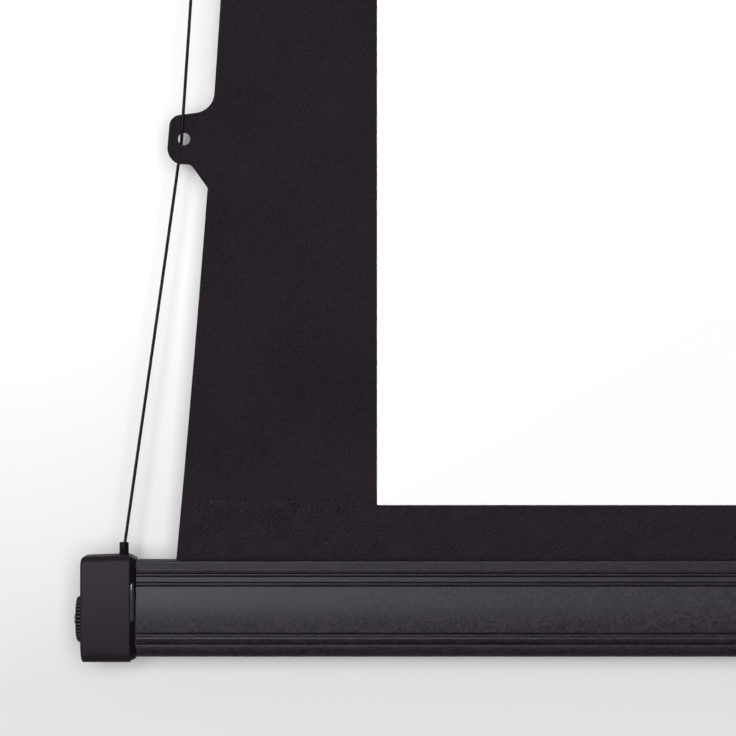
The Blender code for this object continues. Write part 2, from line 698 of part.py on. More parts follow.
def make_drive_end():
    inside = TUBE_BORE - FIT
    ring_x = -ROLLER_HALF - FIT
    fitted_wheel("limit_ring",
                 [(ring_x - RIM_WIDTH / 2, ring_x + RING_LENGTH, inside, True),
                  (ring_x - RIM_WIDTH, ring_x, TUBE_RADIUS - RIM_STEP, False)],
                 MOTOR_RADIUS + SHAFT_FIT, GREY_PLASTIC)
    wheel_x = -MOTOR_START + MOTOR_LENGTH + WHEEL_GAP
    fitted_wheel("drive_wheel", [(wheel_x, wheel_x + DRIVE_LENGTH, inside, True)],
                 DRIVE_SHAFT_RADIUS + SHAFT_FIT, GREY_PLASTIC)
    shaft_x = -MOTOR_START + 2 * FIT + MOTOR_LENGTH - DRIVE_SHAFT_LENGTH / 2
    profile = [(shaft_x, DRIVE_SHAFT_RADIUS), (shaft_x + DRIVE_SHAFT_LENGTH, DRIVE_SHAFT_RADIUS)]
    place("drive_shaft", turned(profile, 24), BRIGHT_STEEL, (0, ROLLER_Y, 0))


def make_idler_end():
    """Bracket with a fixed pin, and a plug in the tube that turns on it in a bush."""
    inside = TUBE_BORE - FIT
    rim = ROLLER_HALF + FIT
    fitted_wheel("idler_plug",
                 [(rim - PLUG_DEPTH, rim + RIM_WIDTH / 2, inside, True),
                  (rim, rim + RIM_WIDTH, TUBE_RADIUS - RIM_STEP, False)],
                 BUSH_RADIUS + FIT, GREY_PLASTIC)
    bush_start, bush_end = rim - PLUG_DEPTH + BUSH_INSET, rim + BUSH_PROUD
    bush = turned([(bush_start, BUSH_RADIUS), (bush_end, BUSH_RADIUS)], 24,
                  [(bush_start, IDLER_PIN_RADIUS + SHAFT_FIT), (bush_end, IDLER_PIN_RADIUS + SHAFT_FIT)])
    place("idler_bush", bush, BRONZE, (0, ROLLER_Y, 0))
    plate_x = CASE_HALF - BRACKET_PLATE
    boss_x = plate_x - BOSS_HEIGHT
    pin = [
        (bush_start - PAST, IDLER_PIN_RADIUS - EDGE_ROUND),
        (bush_start - PAST + EDGE_ROUND, IDLER_PIN_RADIUS),
        (bush_end + FIT, IDLER_PIN_RADIUS), (bush_end + FIT, BUSH_RADIUS), (boss_x - FIT, BUSH_RADIUS),
        (boss_x - FIT, IDLER_PIN_RADIUS), (CASE_HALF - FIT, IDLER_PIN_RADIUS),
    ]
    place("idler_pin", turned(pin, 16), BRIGHT_STEEL, (0, ROLLER_Y, 0))
    half = BRACKET_SIZE / 2
    hole = circle(0, 0, IDLER_PIN_RADIUS + FIT, 24)
    outline = rounded(box_outline(-half, half, -half, half, PLATE_ROUND))
    bracket = place("idler_bracket", prism_x(outline, [hole], plate_x, CASE_HALF), BRIGHT_STEEL,
                    (0, ROLLER_Y, 0))
    boss = prism_x(circle(0, 0, BUSH_RADIUS * 1.4, 24), [hole], boss_x, plate_x + BRACKET_PLATE / 2)
    combine(bracket, boss, "UNION", "pin_boss")


def make_fabric_roll():
    """The turns that stay on the tube when the screen is down, as one sleeve."""
    outer, inner = circle(0, 0, ROLL_RADIUS, 40), circle(0, 0, TUBE_RADIUS + FIT, 40)
    bm = prism_x(outer, [inner], -EDGE_CORNER, EDGE_CORNER)
    place("fabric_roll", bm, BLACK_FABRIC, (0, ROLLER_Y, 0))


def make_roller_spline():
    bm = prism_x(circle(-(TUBE_RADIUS - GROOVE_DEPTH / 2), 0, SPLINE_RADIUS, 12), [],
                 -EDGE_CORNER, EDGE_CORNER)
    place("roller_spline", bm, GREY_PLASTIC, (0, ROLLER_Y, 0))


def make_cable_gland():
    """A turned gland in the left end cap, flanged outside and nutted inside, with an open bore."""
    face = -(CASE_HALF + FIT + CAP_PLATE + FIT)
    inner = -(CASE_HALF - GLAND_NUT_LENGTH)
    mouth = face - GLAND_LENGTH
    profile = [
        (mouth, GLAND_RADIUS - EDGE_ROUND), (mouth + EDGE_ROUND, GLAND_RADIUS + INNER_ROUND),
        (face - 1.2 * CAP_PLATE, GLAND_RADIUS + INNER_ROUND),
        (face - CAP_PLATE, GLAND_RADIUS + GLAND_FLANGE),
        (face, GLAND_RADIUS + GLAND_FLANGE), (face, GLAND_RADIUS), (-CASE_HALF, GLAND_RADIUS),
        (-CASE_HALF, GLAND_RADIUS + GLAND_NUT), (inner, GLAND_RADIUS + GLAND_NUT),
    ]
    bore = [(mouth, GLAND_BORE), (inner, GLAND_BORE)]
    place("cable_gland", turned(profile, 20, bore), BLACK_PLASTIC, (0, ROLLER_Y, GLAND_HEIGHT))


# Fabric


def tab_heights():
    """Height of each tab's hole above the bar."""
    return [TAB_FIRST + TAB_PITCH * k for k in range(TAB_COUNT)]


def edge_half_width(height):
    """Half the fabric's width at a height above the bar: it narrows towards the middle tabs."""
    from_end = max(0.0, min(height, DROP - height))
    middle = TAB_FIRST + TAB_PITCH * (TAB_COUNT // 2 - 1)
    if from_end <= TAB_FIRST:
        share = from_end / TAB_FIRST
        inset = EDGE_INSET_AT_TAB * share + END_BOW * 4 * share * (1 - share)
    else:
        inset = EDGE_INSET_AT_TAB + EDGE_SLOPE * (min(from_end, middle) - TAB_FIRST)
    return EDGE_CORNER - inset


def hole_half_span(height):
    return edge_half_width(height) + TAB_HOLE_OUT


def tab_corners(height):
    """Corners of one tab from its diagonal up to its upper fillet, as (half width, z, radius)."""
    hole = hole_half_span(height)
    low = height - TAB_HALF_HEIGHT
    tip = hole + TAB_TIP_OUT
    foot = low - TAB_DIAGONAL
    knee = hole - TAB_KNEE
    top = height + TAB_SHOULDER
    return [
        (edge_half_width(foot), foot, 0),
        (knee, low, EDGE_ROUND),
        (tip, low, TAB_BOTTOM_ROUND),
        (tip - TAB_LEAN, top - TAB_TOP_FALL, TAB_TOP_ROUND),
        (edge_half_width(top), top, TAB_FILLET),
    ]


def side_corners():
    """Corners of one edge of the fabric from the bar to the roller."""
    heights = tab_heights()
    steps = 5
    last = heights[0] - TAB_HALF_HEIGHT - TAB_DIAGONAL
    corners = [(EDGE_CORNER, -SHEET_TUCK, 0)]
    corners += [(edge_half_width(last * k / steps), last * k / steps, 0) for k in range(steps)]
    for height in heights:
        corners += tab_corners(height)
    first = heights[-1] + TAB_SHOULDER + 2 * TAB_FILLET
    rest = DROP - first
    corners += [(edge_half_width(first + rest * k / steps), first + rest * k / steps, 0)
                for k in range(1, steps + 1)]
    corners.append((EDGE_CORNER, -BAR_TOP, 0))
    return corners


def make_screen_sheet():
    """The fabric in one piece with its tabs, from the roller into the bar's slot."""
    side = side_corners()
    left = [(-half, BAR_TOP + height, radius) for half, height, radius in side]
    right = [(half, BAR_TOP + height, radius) for half, height, radius in reversed(side)]
    holes = [circle(way * hole_half_span(height), BAR_TOP + height, TAB_HOLE_RADIUS, 14)
             for way in SIDE_NAMES for height in tab_heights()]
    half = SHEET_THICKNESS / 2
    bm = prism_y(rounded(left + right), holes, -half, half)
    place("screen_sheet", bm, BLACK_FABRIC, (0, SHEET_Y, 0), smooth=False)


def make_viewing_surface():
    """The white layer on the front of the fabric."""
    back = SHEET_Y - SHEET_THICKNESS / 2 - FIT
    half = VIEW_WIDTH / 2
    outline = box_corners(-half, half, VIEW_TOP - VIEW_HEIGHT, VIEW_TOP)
    bm = prism_y(outline, [], back - LAYER_THICKNESS, back)
    place("viewing_surface", bm, WHITE_FABRIC, smooth=False)


def hem_centre_z():
    """Height of the hem's loop, which hangs on the two lips of the bar's slot."""
    lip = BAR_TOP - HEM_CHANNEL_DEPTH + sqrt(HEM_CHANNEL_RADIUS ** 2 - (HEM_SLOT / 2) ** 2)
    reach = HEM_ROD_RADIUS + FIT + LAYER_THICKNESS + FIT
    return lip - sqrt(reach ** 2 - (HEM_SLOT / 2) ** 2)


def make_bottom_strip():
    """The textured strip on the fabric's lower edge, ending in the loop round the hem rod."""
    inner = HEM_ROD_RADIUS + FIT
    outer = inner + LAYER_THICKNESS
    back = -(SHEET_THICKNESS / 2 + FIT)
    front = back - LAYER_THICKNESS
    centre = hem_centre_z()
    start, end = asin(front / outer), asin(back / outer)
    count = 20
    loop = []
    for k in range(count + 1):
        angle = start - (2 * pi - (end - start)) * k / count
        loop.append((outer * sin(angle), centre + outer * cos(angle)))
    top = BAR_TOP + STRIP_HEIGHT
    outline = [(front, top), *loop, (back, top)]
    hole = circle(0, centre, inner, 20)
    half = EDGE_CORNER - STRIP_INSET
    bm = prism_x(outline, [hole], -half, half)
    for vert in bm.verts:
        if vert.co.z > BAR_TOP:
            gone = edge_half_width(vert.co.z - BAR_TOP) - EDGE_CORNER
            vert.co.x += gone if vert.co.x > 0 else -gone
    strip = place("bottom_strip", bm, BLACK_FABRIC, (0, SHEET_Y, 0), smooth=False)
    notch = VIEW_WIDTH / 2 + FIT
    low = BAR_TOP + BOTTOM_BORDER - FIT
    cut = prism_y(box_corners(-notch, notch, low, top + PAST), [], -PAST, PAST)
    combine(strip, cut, "DIFFERENCE", "picture_notch")


def make_hem_rod():
    bm = prism_x(circle(0, hem_centre_z(), HEM_ROD_RADIUS, 14), [], -EDGE_CORNER, EDGE_CORNER)
    place("hem_rod", bm, GREY_PLASTIC, (0, SHEET_Y, 0))


# Bottom bar


def front_bands():
    """The front from the top down: each band's lower edge, its setting back and its outward bow."""
    return [
        (0.0048, 0, 0), (0.0053, BAR_GROOVE, 0), (0.0060, BAR_STEP, 0), (0.0065, BAR_GROOVE, 0),
        (0.0084, 0, 0), (0.0089, BAR_GROOVE, 0), (0.0098, BAR_STEP, 0), (0.0103, BAR_GROOVE, 0),
        (0.0288, 0, BAR_BOW), (0.0294, BAR_GROOVE, 0), (0.0310, 0, 0), (0.0325, BAR_GROOVE - BAR_STEP, 0),
        (0.0332, BAR_GROOVE + BAR_STEP, 0), (0.0342, 0, 0),
    ]


def back_bands():
    """The back in the same way, with two grooves."""
    return [
        (0.0048, 0, 0), (0.0055, BAR_GROOVE, 0), (0.0321, 0, 0), (0.0331, BAR_GROOVE, 0), (0.0354, 0, 0),
    ]


def banded_side(bands, foot_in):
    """Points down one side of the bar, as (depth from the middle, height), to its rounded foot."""
    half = BAR_DEPTH / 2
    points = [(half - BAR_EDGE, 0), (half - 0.3 * BAR_EDGE, -0.3 * BAR_EDGE)]
    top = BAR_EDGE
    for low, back, bow in bands:
        points.append((half - back, -top))
        if bow:
            points += [(half + bow * sin(pi * k / 6), -top - (low - top) * k / 6) for k in range(1, 6)]
        points.append((half - back, -low))
        top = low + BAND_SLOPE
    drop = BAR_HEIGHT - bands[-1][0]
    for k in range(1, 6):
        angle = pi * k / 10
        points.append((half - foot_in * (1 - cos(angle)), -bands[-1][0] - drop * sin(angle)))
    return points


def bar_outline():
    """The bar's cross-section about the fabric's plane, with the keyhole slot for the hem."""
    slot = HEM_SLOT / 2
    front = [(-depth, z) for depth, z in banded_side(front_bands(), BAR_FOOT_IN)]
    back = banded_side(back_bands(), BAR_BACK_FOOT_IN)
    mouth = asin(slot / HEM_CHANNEL_RADIUS)
    count = 18
    channel = []
    for k in range(count + 1):
        angle = mouth + (2 * pi - 2 * mouth) * k / count
        channel.append((HEM_CHANNEL_RADIUS * sin(angle),
                        -HEM_CHANNEL_DEPTH + HEM_CHANNEL_RADIUS * cos(angle)))
    return [(-slot, 0), *front, *reversed(back), (slot, 0), *channel]


def chamber_outline(clearance=0.0):
    half = CHAMBER_HALF - clearance
    low, high = -CHAMBER_BOTTOM + clearance, -CHAMBER_TOP - clearance
    return rounded(box_outline(-half, half, low, high, CHAMBER_ROUND))


def make_bottom_bar():
    holes = [chamber_outline()]
    holes += [circle(way * BAR_SCREW_Y, -BAR_SCREW_DEPTH, BAR_SCREW_RADIUS + FIT, 12) for way in SIDE_NAMES]
    for way in SIDE_NAMES:
        near, far = HEM_CHANNEL_RADIUS + POCKET_INNER, BAR_DEPTH / 2 - POCKET_OUTER
        low, high = -HEM_CHANNEL_DEPTH - POCKET_BELOW, -HEM_CHANNEL_DEPTH + POCKET_ABOVE
        edges = sorted([way * near, way * far])
        holes.append(rounded(box_outline(*edges, low, high, INNER_ROUND)))
    bm = prism_x(bar_outline(), holes, -BAR_HALF, BAR_HALF)
    place("bottom_bar", bm, BLACK_COAT, (0, SHEET_Y, BAR_TOP))


def make_weight_rod():
    """A plain steel bar that lies on the floor of the bar's chamber."""
    half = BAR_HALF - CHASSIS_PLUG - PAST
    z = BAR_TOP - CHAMBER_BOTTOM + FIT + WEIGHT_ROD_RADIUS
    bm = prism_x(circle(0, z, WEIGHT_ROD_RADIUS, 20), [], -half, half)
    place("weight_rod", bm, BRIGHT_STEEL, (0, SHEET_Y, 0))


# Bottom bar's ends: each is drawn with X inwards from the cap's outer face


def end_place(side):
    return (side * CAP_OUTER, SHEET_Y, BAR_TOP)


def knob_place(side):
    return (side * CAP_OUTER, SHEET_Y, KNOB_Z)


def cap_ring(x, inset, corner):
    half = BAR_DEPTH / 2 + CAP_OVERHANG - inset
    low, high = -BAR_HEIGHT - CAP_OVERHANG + inset, CAP_OVERHANG - inset
    outline = rounded(box_outline(-half, half, low, high, max(corner - inset, FINE_ROUND)))
    return [(x, y, z) for y, z in outline]


def make_end_cap(side):
    """A moulded shell, open towards the bar, with a round pocket for the knob."""
    name = "bar_end_cap_" + SIDE_NAMES[side]
    stations = [(CAP_ROUND * (1 - sin(a)), CAP_ROUND * (1 - cos(a))) for a in (pi / 2, pi / 3, pi / 6, 0)]
    stations += [(CAP_LENGTH - CAP_INNER_ROUND * (1 - sin(a)), CAP_OVERHANG * (1 - cos(a)))
                 for a in (0, pi / 6, pi / 3, pi / 2.2)]
    rings = [cap_ring(x, inset, CAP_CORNER) for x, inset in stations]
    cap = place(name, mirrored(lofted(rings), side), BLACK_PLASTIC, end_place(side))
    hollow = lofted([cap_ring(x, CAP_WALL, 1.3 * CAP_CORNER) for x in (CAP_WALL, CAP_LENGTH + PAST)])
    combine(cap, mirrored(hollow, side), "DIFFERENCE", name + "_hollow")
    pocket = prism_x(circle(0, -KNOB_DROP, KNOB_RADIUS + FIT, 32), [], -PAST, KNOB_POCKET)
    combine(cap, mirrored(pocket, side), "DIFFERENCE", name + "_pocket")
    bearing = prism_x(circle(0, -KNOB_DROP, SPOOL_SHOULDER + FIT, 24), [], 0, CAP_WALL + PAST)
    combine(cap, mirrored(bearing, side), "DIFFERENCE", name + "_bearing")
    hole = prism_z(circle(CORD_DEPTH, 0, NIPPLE_STEM + FIT, 16), [], -5 * PAST, CAP_OVERHANG + PAST)
    combine(cap, mirrored(hole, side), "DIFFERENCE", name + "_cord_hole")


def make_knob(side):
    """A ribbed knob with a rounded rim, a dished face and a hexagon bore for the spool."""
    stations = [
        (KNOB_POCKET - FIT, 0, 1), (-KNOB_PROUD + 0.8 * KNOB_ROUND, 0, 1),
        (-KNOB_PROUD + 0.25 * KNOB_ROUND, 0.4 * KNOB_ROUND, 0.6), (-KNOB_PROUD, KNOB_ROUND, 0),
    ]
    rings = []
    for x, inset, ribbed in stations:
        ring = []
        for k in range(2 * KNOB_RIBS):
            radius = KNOB_RADIUS - inset - (RIB_DEPTH * ribbed if k % 2 else 0)
            angle = pi * k / KNOB_RIBS
            ring.append((x, radius * cos(angle), radius * sin(angle)))
        rings.append(ring)
    name = "tension_knob_" + SIDE_NAMES[side]
    knob = place(name, mirrored(lofted(rings), side), BLACK_PLASTIC, knob_place(side))
    floor = -KNOB_PROUD + KNOB_DISH
    dish = turned([(floor - PAST, KNOB_DISH_RADIUS + PAST - KNOB_DISH),
                   (floor, KNOB_DISH_RADIUS - KNOB_DISH)], 32)
    combine(knob, mirrored(dish, side), "DIFFERENCE", name + "_dish")
    bore = prism_x(circle(0, 0, HEX_RADIUS + SHAFT_FIT * 1.2, 6), [],
                   -KNOB_PROUD + KNOB_WEB, KNOB_POCKET + PAST)
    combine(knob, mirrored(bore, side), "DIFFERENCE", name + "_hexagon")
    screw_hole = prism_x(circle(0, 0, KNOB_SCREW_RADIUS + FIT, 12), [], -KNOB_PROUD - PAST, KNOB_POCKET)
    combine(knob, mirrored(screw_hole, side), "DIFFERENCE", name + "_screw_hole")
    screw = make_screw("knob_screw_" + SIDE_NAMES[side],
                       (side * (CAP_OUTER + KNOB_PROUD - KNOB_DISH + FIT), SHEET_Y, KNOB_Z), -side,
                       KNOB_SCREW_RADIUS, KNOB_SCREW_LENGTH, KNOB_SCREW_HEAD, SMALL_HEAD_HEIGHT)
    reach, half = 0.85 * KNOB_SCREW_HEAD, 0.12 * KNOB_SCREW_HEAD
    slot = prism_x(box_corners(-reach, reach, -half, half), [], 0.6 * SMALL_HEAD_HEIGHT, PAST)
    for vert in slot.verts:
        vert.co.x *= side
    combine(screw, slot, "DIFFERENCE", "screw_slot_" + SIDE_NAMES[side])


def make_spool(side):
    """Hexagon stub, shoulder, saw-toothed ratchet wheel, drum, flange and journal in one piece."""
    name = "cord_spool_" + SIDE_NAMES[side]
    wheel_end = RATCHET_START + RATCHET_WIDTH
    profile = [
        (KNOB_POCKET, SPOOL_SHOULDER), (wheel_end + RATCHET_STEP, SPOOL_SHOULDER),
        (wheel_end + RATCHET_STEP, DRUM_RADIUS), (DRUM_END, DRUM_RADIUS), (DRUM_END, FLANGE_RADIUS),
        (FLANGE_END, FLANGE_RADIUS), (FLANGE_END, JOURNAL_RADIUS), (JOURNAL_END, JOURNAL_RADIUS),
    ]
    spool = place(name, mirrored(turned(profile, 20), side), SPRING_STEEL, knob_place(side))
    teeth = []
    for k in range(RATCHET_TEETH):
        angle = 2 * pi * k / RATCHET_TEETH + radians(PAWL_ANGLE + TOOTH_LEAD)
        teeth.append((RATCHET_ROOT * cos(angle), RATCHET_ROOT * sin(angle)))
        teeth.append((RATCHET_RADIUS * cos(angle), RATCHET_RADIUS * sin(angle)))
    wheel = prism_x(teeth, [], RATCHET_START, wheel_end)
    combine(spool, mirrored(wheel, side), "UNION", name + "_ratchet")
    stub = prism_x(circle(0, 0, HEX_RADIUS, 6), [], -KNOB_PROUD + KNOB_WEB + 2 * FIT, KNOB_POCKET + FIT)
    combine(spool, mirrored(stub, side), "UNION", name + "_stub")
    tapped = prism_x(circle(0, 0, KNOB_SCREW_RADIUS + FIT, 12), [], -KNOB_PROUD, KNOB_SCREW_LENGTH)
    combine(spool, mirrored(tapped, side), "DIFFERENCE", name + "_tapped_hole")


def make_chassis(side):
    """The cap's inner frame: bearing plate, plug in the bar's chamber, and a beam for the pawl."""
    name = "tension_chassis_" + SIDE_NAMES[side]
    rings = [cap_ring(x, CAP_WALL + FIT, 1.3 * CAP_CORNER) for x in (PLATE_START, CAP_LENGTH - FIT)]
    chassis = place(name, mirrored(lofted(rings), side), GREY_PLASTIC, end_place(side))
    plug = prism_x(chamber_outline(FIT), [], CAP_LENGTH - PAST, CAP_PAST_BAR + CHASSIS_PLUG)
    combine(chassis, mirrored(plug, side), "UNION", name + "_plug")
    room = prism_x(chamber_outline(FIT + PLUG_WALL), [],
                   PLATE_START + CHASSIS_PLATE, CAP_PAST_BAR + CHASSIS_PLUG + PAST)
    combine(chassis, mirrored(room, side), "DIFFERENCE", name + "_room")
    bearing = prism_x(circle(0, -KNOB_DROP, JOURNAL_RADIUS + SHAFT_FIT, 24), [],
                      PLATE_START - PAST, PLATE_START + CHASSIS_PLATE + PAST)
    combine(chassis, mirrored(bearing, side), "DIFFERENCE", name + "_bearing")
    high = beam_top()
    back, foot = cap_half_width() - FIT - FINE_ROUND, cap_floor() + FIT + INNER_ROUND
    beam = prism_x(box_corners(PAWL_BEAM_START, back, foot, high), [],
                   RATCHET_START, PLATE_START + 0.25 * CHASSIS_PLATE)
    combine(chassis, mirrored(beam, side), "UNION", name + "_beam")
    y = pawl_y()
    half = PAWL_THICKNESS / 2 + FIT
    slot = prism_x(box_corners(y - half, y + half, high - PAWL_SLOT, high + PAST), [],
                   RATCHET_START - PAST, RATCHET_START + RATCHET_WIDTH)
    combine(chassis, mirrored(slot, side), "DIFFERENCE", name + "_pawl_slot")
    for number, way in enumerate(SIDE_NAMES):
        hole = prism_x(circle(way * BAR_SCREW_Y, -BAR_SCREW_DEPTH, BAR_SCREW_RADIUS + FIT, 12), [],
                       PLATE_START - PAST, CAP_LENGTH + PAST)
        combine(chassis, mirrored(hole, side), "DIFFERENCE", "%s_screw_hole_%d" % (name, number))


def cap_half_width():
    """Half the depth of the cap's hollow."""
    return BAR_DEPTH / 2 + CAP_OVERHANG - CAP_WALL


def cap_floor():
    """The hollow's floor, below the bar's top."""
    return -BAR_HEIGHT - CAP_OVERHANG + CAP_WALL


def pawl_y():
    return PAWL_TIP * cos(radians(PAWL_ANGLE))


def pawl_tip_z():
    return -KNOB_DROP + PAWL_TIP * sin(radians(PAWL_ANGLE))


def beam_top():
    return -KNOB_DROP - 0.92 * RATCHET_RADIUS - PAWL_BEAM_DROP


def make_pawl(side):
    """A leaf spring that stands in the beam's slot with its tip in a tooth of the ratchet."""
    y, top = pawl_y(), pawl_tip_z()
    half = PAWL_THICKNESS / 2
    low = beam_top() - PAWL_SLOT + FIT
    outline = [(y - half, low), (y + half, low), (y + half, top), (y - half, top - half)]
    bm = prism_x(outline, [], RATCHET_START, RATCHET_START + RATCHET_WIDTH - FIT)
    place("ratchet_pawl_" + SIDE_NAMES[side], mirrored(bm, side), SPRING_STEEL, end_place(side))


def make_chassis_screws(side):
    for word, way in (("front", LEFT), ("rear", RIGHT)):
        at = (side * (CAP_OUTER - PLATE_START + FIT), SHEET_Y + way * BAR_SCREW_Y,
              BAR_TOP - BAR_SCREW_DEPTH)
        make_screw("chassis_screw_%s_%s" % (word, SIDE_NAMES[side]), at, -side,
                   BAR_SCREW_RADIUS, BAR_SCREW_LENGTH, BAR_SCREW_HEAD, SMALL_HEAD_HEIGHT)


def make_nipple(side):
    """A turned eyelet in the cap's upper wall, with a flared mouth for the cord."""
    foot = CAP_OVERHANG - CAP_WALL
    seat, top = CAP_OVERHANG + FIT, CAP_OVERHANG + NIPPLE_HEIGHT
    profile = [
        (foot, NIPPLE_STEM), (seat, NIPPLE_STEM), (seat, NIPPLE_FLANGE),
        (seat + FINE_ROUND, NIPPLE_FLANGE), (seat + INNER_ROUND, NIPPLE_RADIUS),
        (top - 0.2 * NIPPLE_RADIUS, NIPPLE_RADIUS), (top, 0.8 * NIPPLE_RADIUS),
    ]
    throat = CORD_RADIUS + FIT
    bore = [(foot, throat + FIT), (CORD_BEND, throat + 0.3 * FIT), (top, throat + 1.6 * FIT)]
    bm = turned(profile, 16, bore)
    for vert in bm.verts:
        vert.co = Vector((-vert.co.z, vert.co.y, vert.co.x))
    at = (side * CORD_HALF_SPAN, SHEET_Y, BAR_TOP)
    place("cord_nipple_" + SIDE_NAMES[side], bm, BLACK_PLASTIC, at)


# Tension cords


def cord_end_x():
    """Half span at which the cord's upper end meets its anchor on the roller."""
    return CORD_HALF_SPAN + ROLLER_SPREAD


def spool_turns():
    """The turns on the spool, from the ratchet's side to where the cord leaves at the front."""
    start = RATCHET_START + RATCHET_WIDTH + RATCHET_STEP + CORD_RADIUS + FIT
    points = []
    total = SPOOL_TURNS * LOOP_POINTS
    for k in range(total + 1):
        angle = pi + 2 * pi * SPOOL_TURNS * (1 - k / total)
        inwards = start + TURN_PITCH * SPOOL_TURNS * k / total
        points.append((CAP_OUTER - inwards, SHEET_Y + TURN_RADIUS * cos(angle),
                       KNOB_Z + TURN_RADIUS * sin(angle)))
    return points


def roller_turns():
    """The turn and a bit on the roller's bare end, from the wall side over the top."""
    wrap = TUBE_RADIUS + FIT + CORD_RADIUS
    gap = (ANCHOR_SHANK + FIT + CORD_RADIUS / 2) / wrap
    whole = 2 * pi * ROLLER_TURNS - gap
    total = ceil(ROLLER_LOOP_POINTS * ROLLER_TURNS)
    points = []
    for k in range(total + 1):
        angle = whole * k / total
        points.append((CORD_HALF_SPAN + ROLLER_SPREAD * k / total,
                       ROLLER_Y + wrap * cos(angle), wrap * sin(angle)))
    return points


def cord_route():
    """Points of one cord as (half span, y, z): spool, nipple, behind and before each tab, roller."""
    behind, before = SHEET_Y + CORD_LAYER, SHEET_Y - CORD_LAYER
    leave = spool_turns()[-1]
    mouth = BAR_TOP + CAP_OVERHANG + NIPPLE_HEIGHT
    heights = tab_heights()
    holes = [(hole_half_span(height) + CORD_IN_HOLE, BAR_TOP + height) for height in heights]
    bend = (CORD_HALF_SPAN, SHEET_Y, BAR_TOP + CORD_BEND)
    lean = (CORD_HALF_SPAN - holes[0][0]) / (holes[0][1] - bend[2])
    route = spool_turns()
    route += [
        (leave[0] - 0.0001, leave[1] + 0.00005, leave[2] + 0.0020),
        (leave[0] - 0.0006, leave[1] + 0.0008, leave[2] + 0.0065),
        (CORD_HALF_SPAN + 0.0003, SHEET_Y - 0.0006, BAR_TOP - 0.0060),
        (CORD_HALF_SPAN, SHEET_Y, BAR_TOP - 0.0020),
        bend,
        (CORD_HALF_SPAN - lean * (mouth - bend[2]), SHEET_Y, mouth),
    ]
    below_x, below_z = CORD_HALF_SPAN, BAR_TOP
    ends = holes[1:] + [(CORD_HALF_SPAN, 0.0)]
    for (x, z), (next_x, next_z) in zip(holes, ends):
        fall = (below_x - x) / (z - below_z)
        rise = (next_x - x) / (next_z - z)
        for step, y in ((-0.0110, behind), (-0.0040, behind), (-0.0022, SHEET_Y + 0.8 * CORD_LAYER)):
            route.append((x - fall * step, y, z + step))
        route.append((x, SHEET_Y, z))
        for step, y in ((0.0022, SHEET_Y - 0.8 * CORD_LAYER), (0.0040, before), (0.0125, before)):
            route.append((x + rise * step, y, z + step))
        below_x, below_z = x, z
    last = holes[-1]
    share = 0.8
    route.append((last[0] + (CORD_HALF_SPAN - last[0]) * share, before, last[1] * (1 - share)))
    return route + roller_turns()


def least_gap(points, window):
    """Least distance between stretches of a winding that lie a turn or more apart, less its width."""
    least = 1.0
    for i, a in enumerate(points):
        for b in points[i + window:]:
            least = min(least, (Vector(a) - Vector(b)).length)
    return least - 2 * CORD_RADIUS


def make_tension_cord(side):
    curve = bpy.data.curves.new("tension_cord_" + SIDE_NAMES[side], "CURVE")
    curve.dimensions = "3D"
    curve.bevel_depth = CORD_RADIUS
    curve.bevel_resolution = 1
    curve.use_fill_caps = True
    points = cord_route()
    spline = curve.splines.new("POLY")
    spline.points.add(len(points) - 1)
    for point, (x, y, z) in zip(spline.points, points):
        point.co = (side * x, y, z, 1)
    cord = bpy.data.objects.new("tension_cord_" + SIDE_NAMES[side], curve)
    bpy.context.collection.objects.link(cord)
    paint(cord, CORD_BLACK)


def make_cord_anchor(side):
    """A shouldered screw in the roller, just past the cord's end, with its head over the cord."""
    foot = TUBE_BORE + FIT
    under = TUBE_RADIUS + 3 * FIT + 2 * CORD_RADIUS
    top = under + ANCHOR_HEAD_HEIGHT
    profile = [(foot, ANCHOR_SHANK), (under, ANCHOR_SHANK), (under, ANCHOR_HEAD),
               (top - EDGE_ROUND, ANCHOR_HEAD), (top, ANCHOR_HEAD - EDGE_ROUND)]
    bm = turned(profile, 12)
    for vert in bm.verts:
        vert.co = Vector((-vert.co.z, vert.co.y, vert.co.x))
    place("cord_anchor_" + SIDE_NAMES[side], bm, BRIGHT_STEEL, (side * cord_end_x(), ROLLER_Y, 0))


make_case_shell()
make_motor_bracket()
make_motor_head()
for limit_name, limit_y in zip(["limit_screw_up", "limit_screw_down"], limit_screw_places()):
    make_limit_screw(limit_name, limit_y)
make_motor_tube()
make_cable_gland()
make_roller_tube()
make_drive_end()
make_idler_end()
make_fabric_roll()
make_roller_spline()
make_screen_sheet()
make_viewing_surface()
make_bottom_strip()
make_hem_rod()
make_bottom_bar()
make_weight_rod()
for end in SIDE_NAMES:
    make_case_end_cap(end)
    make_case_screws(end)
    make_wall_bracket(end)
    make_end_cap(end)
    make_knob(end)
    make_spool(end)
    make_chassis(end)
    make_pawl(end)
    make_chassis_screws(end)
    make_nipple(end)
    make_tension_cord(end)
    make_cord_anchor(end)

spool_gap = least_gap(spool_turns(), LOOP_POINTS // 2)
roller_gap = least_gap(roller_turns(), ROLLER_LOOP_POINTS // 2)
route = [Vector(point) for point in cord_route()]
print("least gap in the spool's turns, mm: %.3f" % (1000 * spool_gap))
print("least gap in the roller's turns, mm: %.3f" % (1000 * roller_gap))
print("length of each cord, m: %.4f" % sum((b - a).length for a, b in zip(route, route[1:])))
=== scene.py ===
"""Dresses the tensioned projection screen: its fabric, cords, bar, caps, case, finishes, wall and light."""

import json
from math import asin, atan2, ceil, cos, pi, radians, sin, sqrt, tan

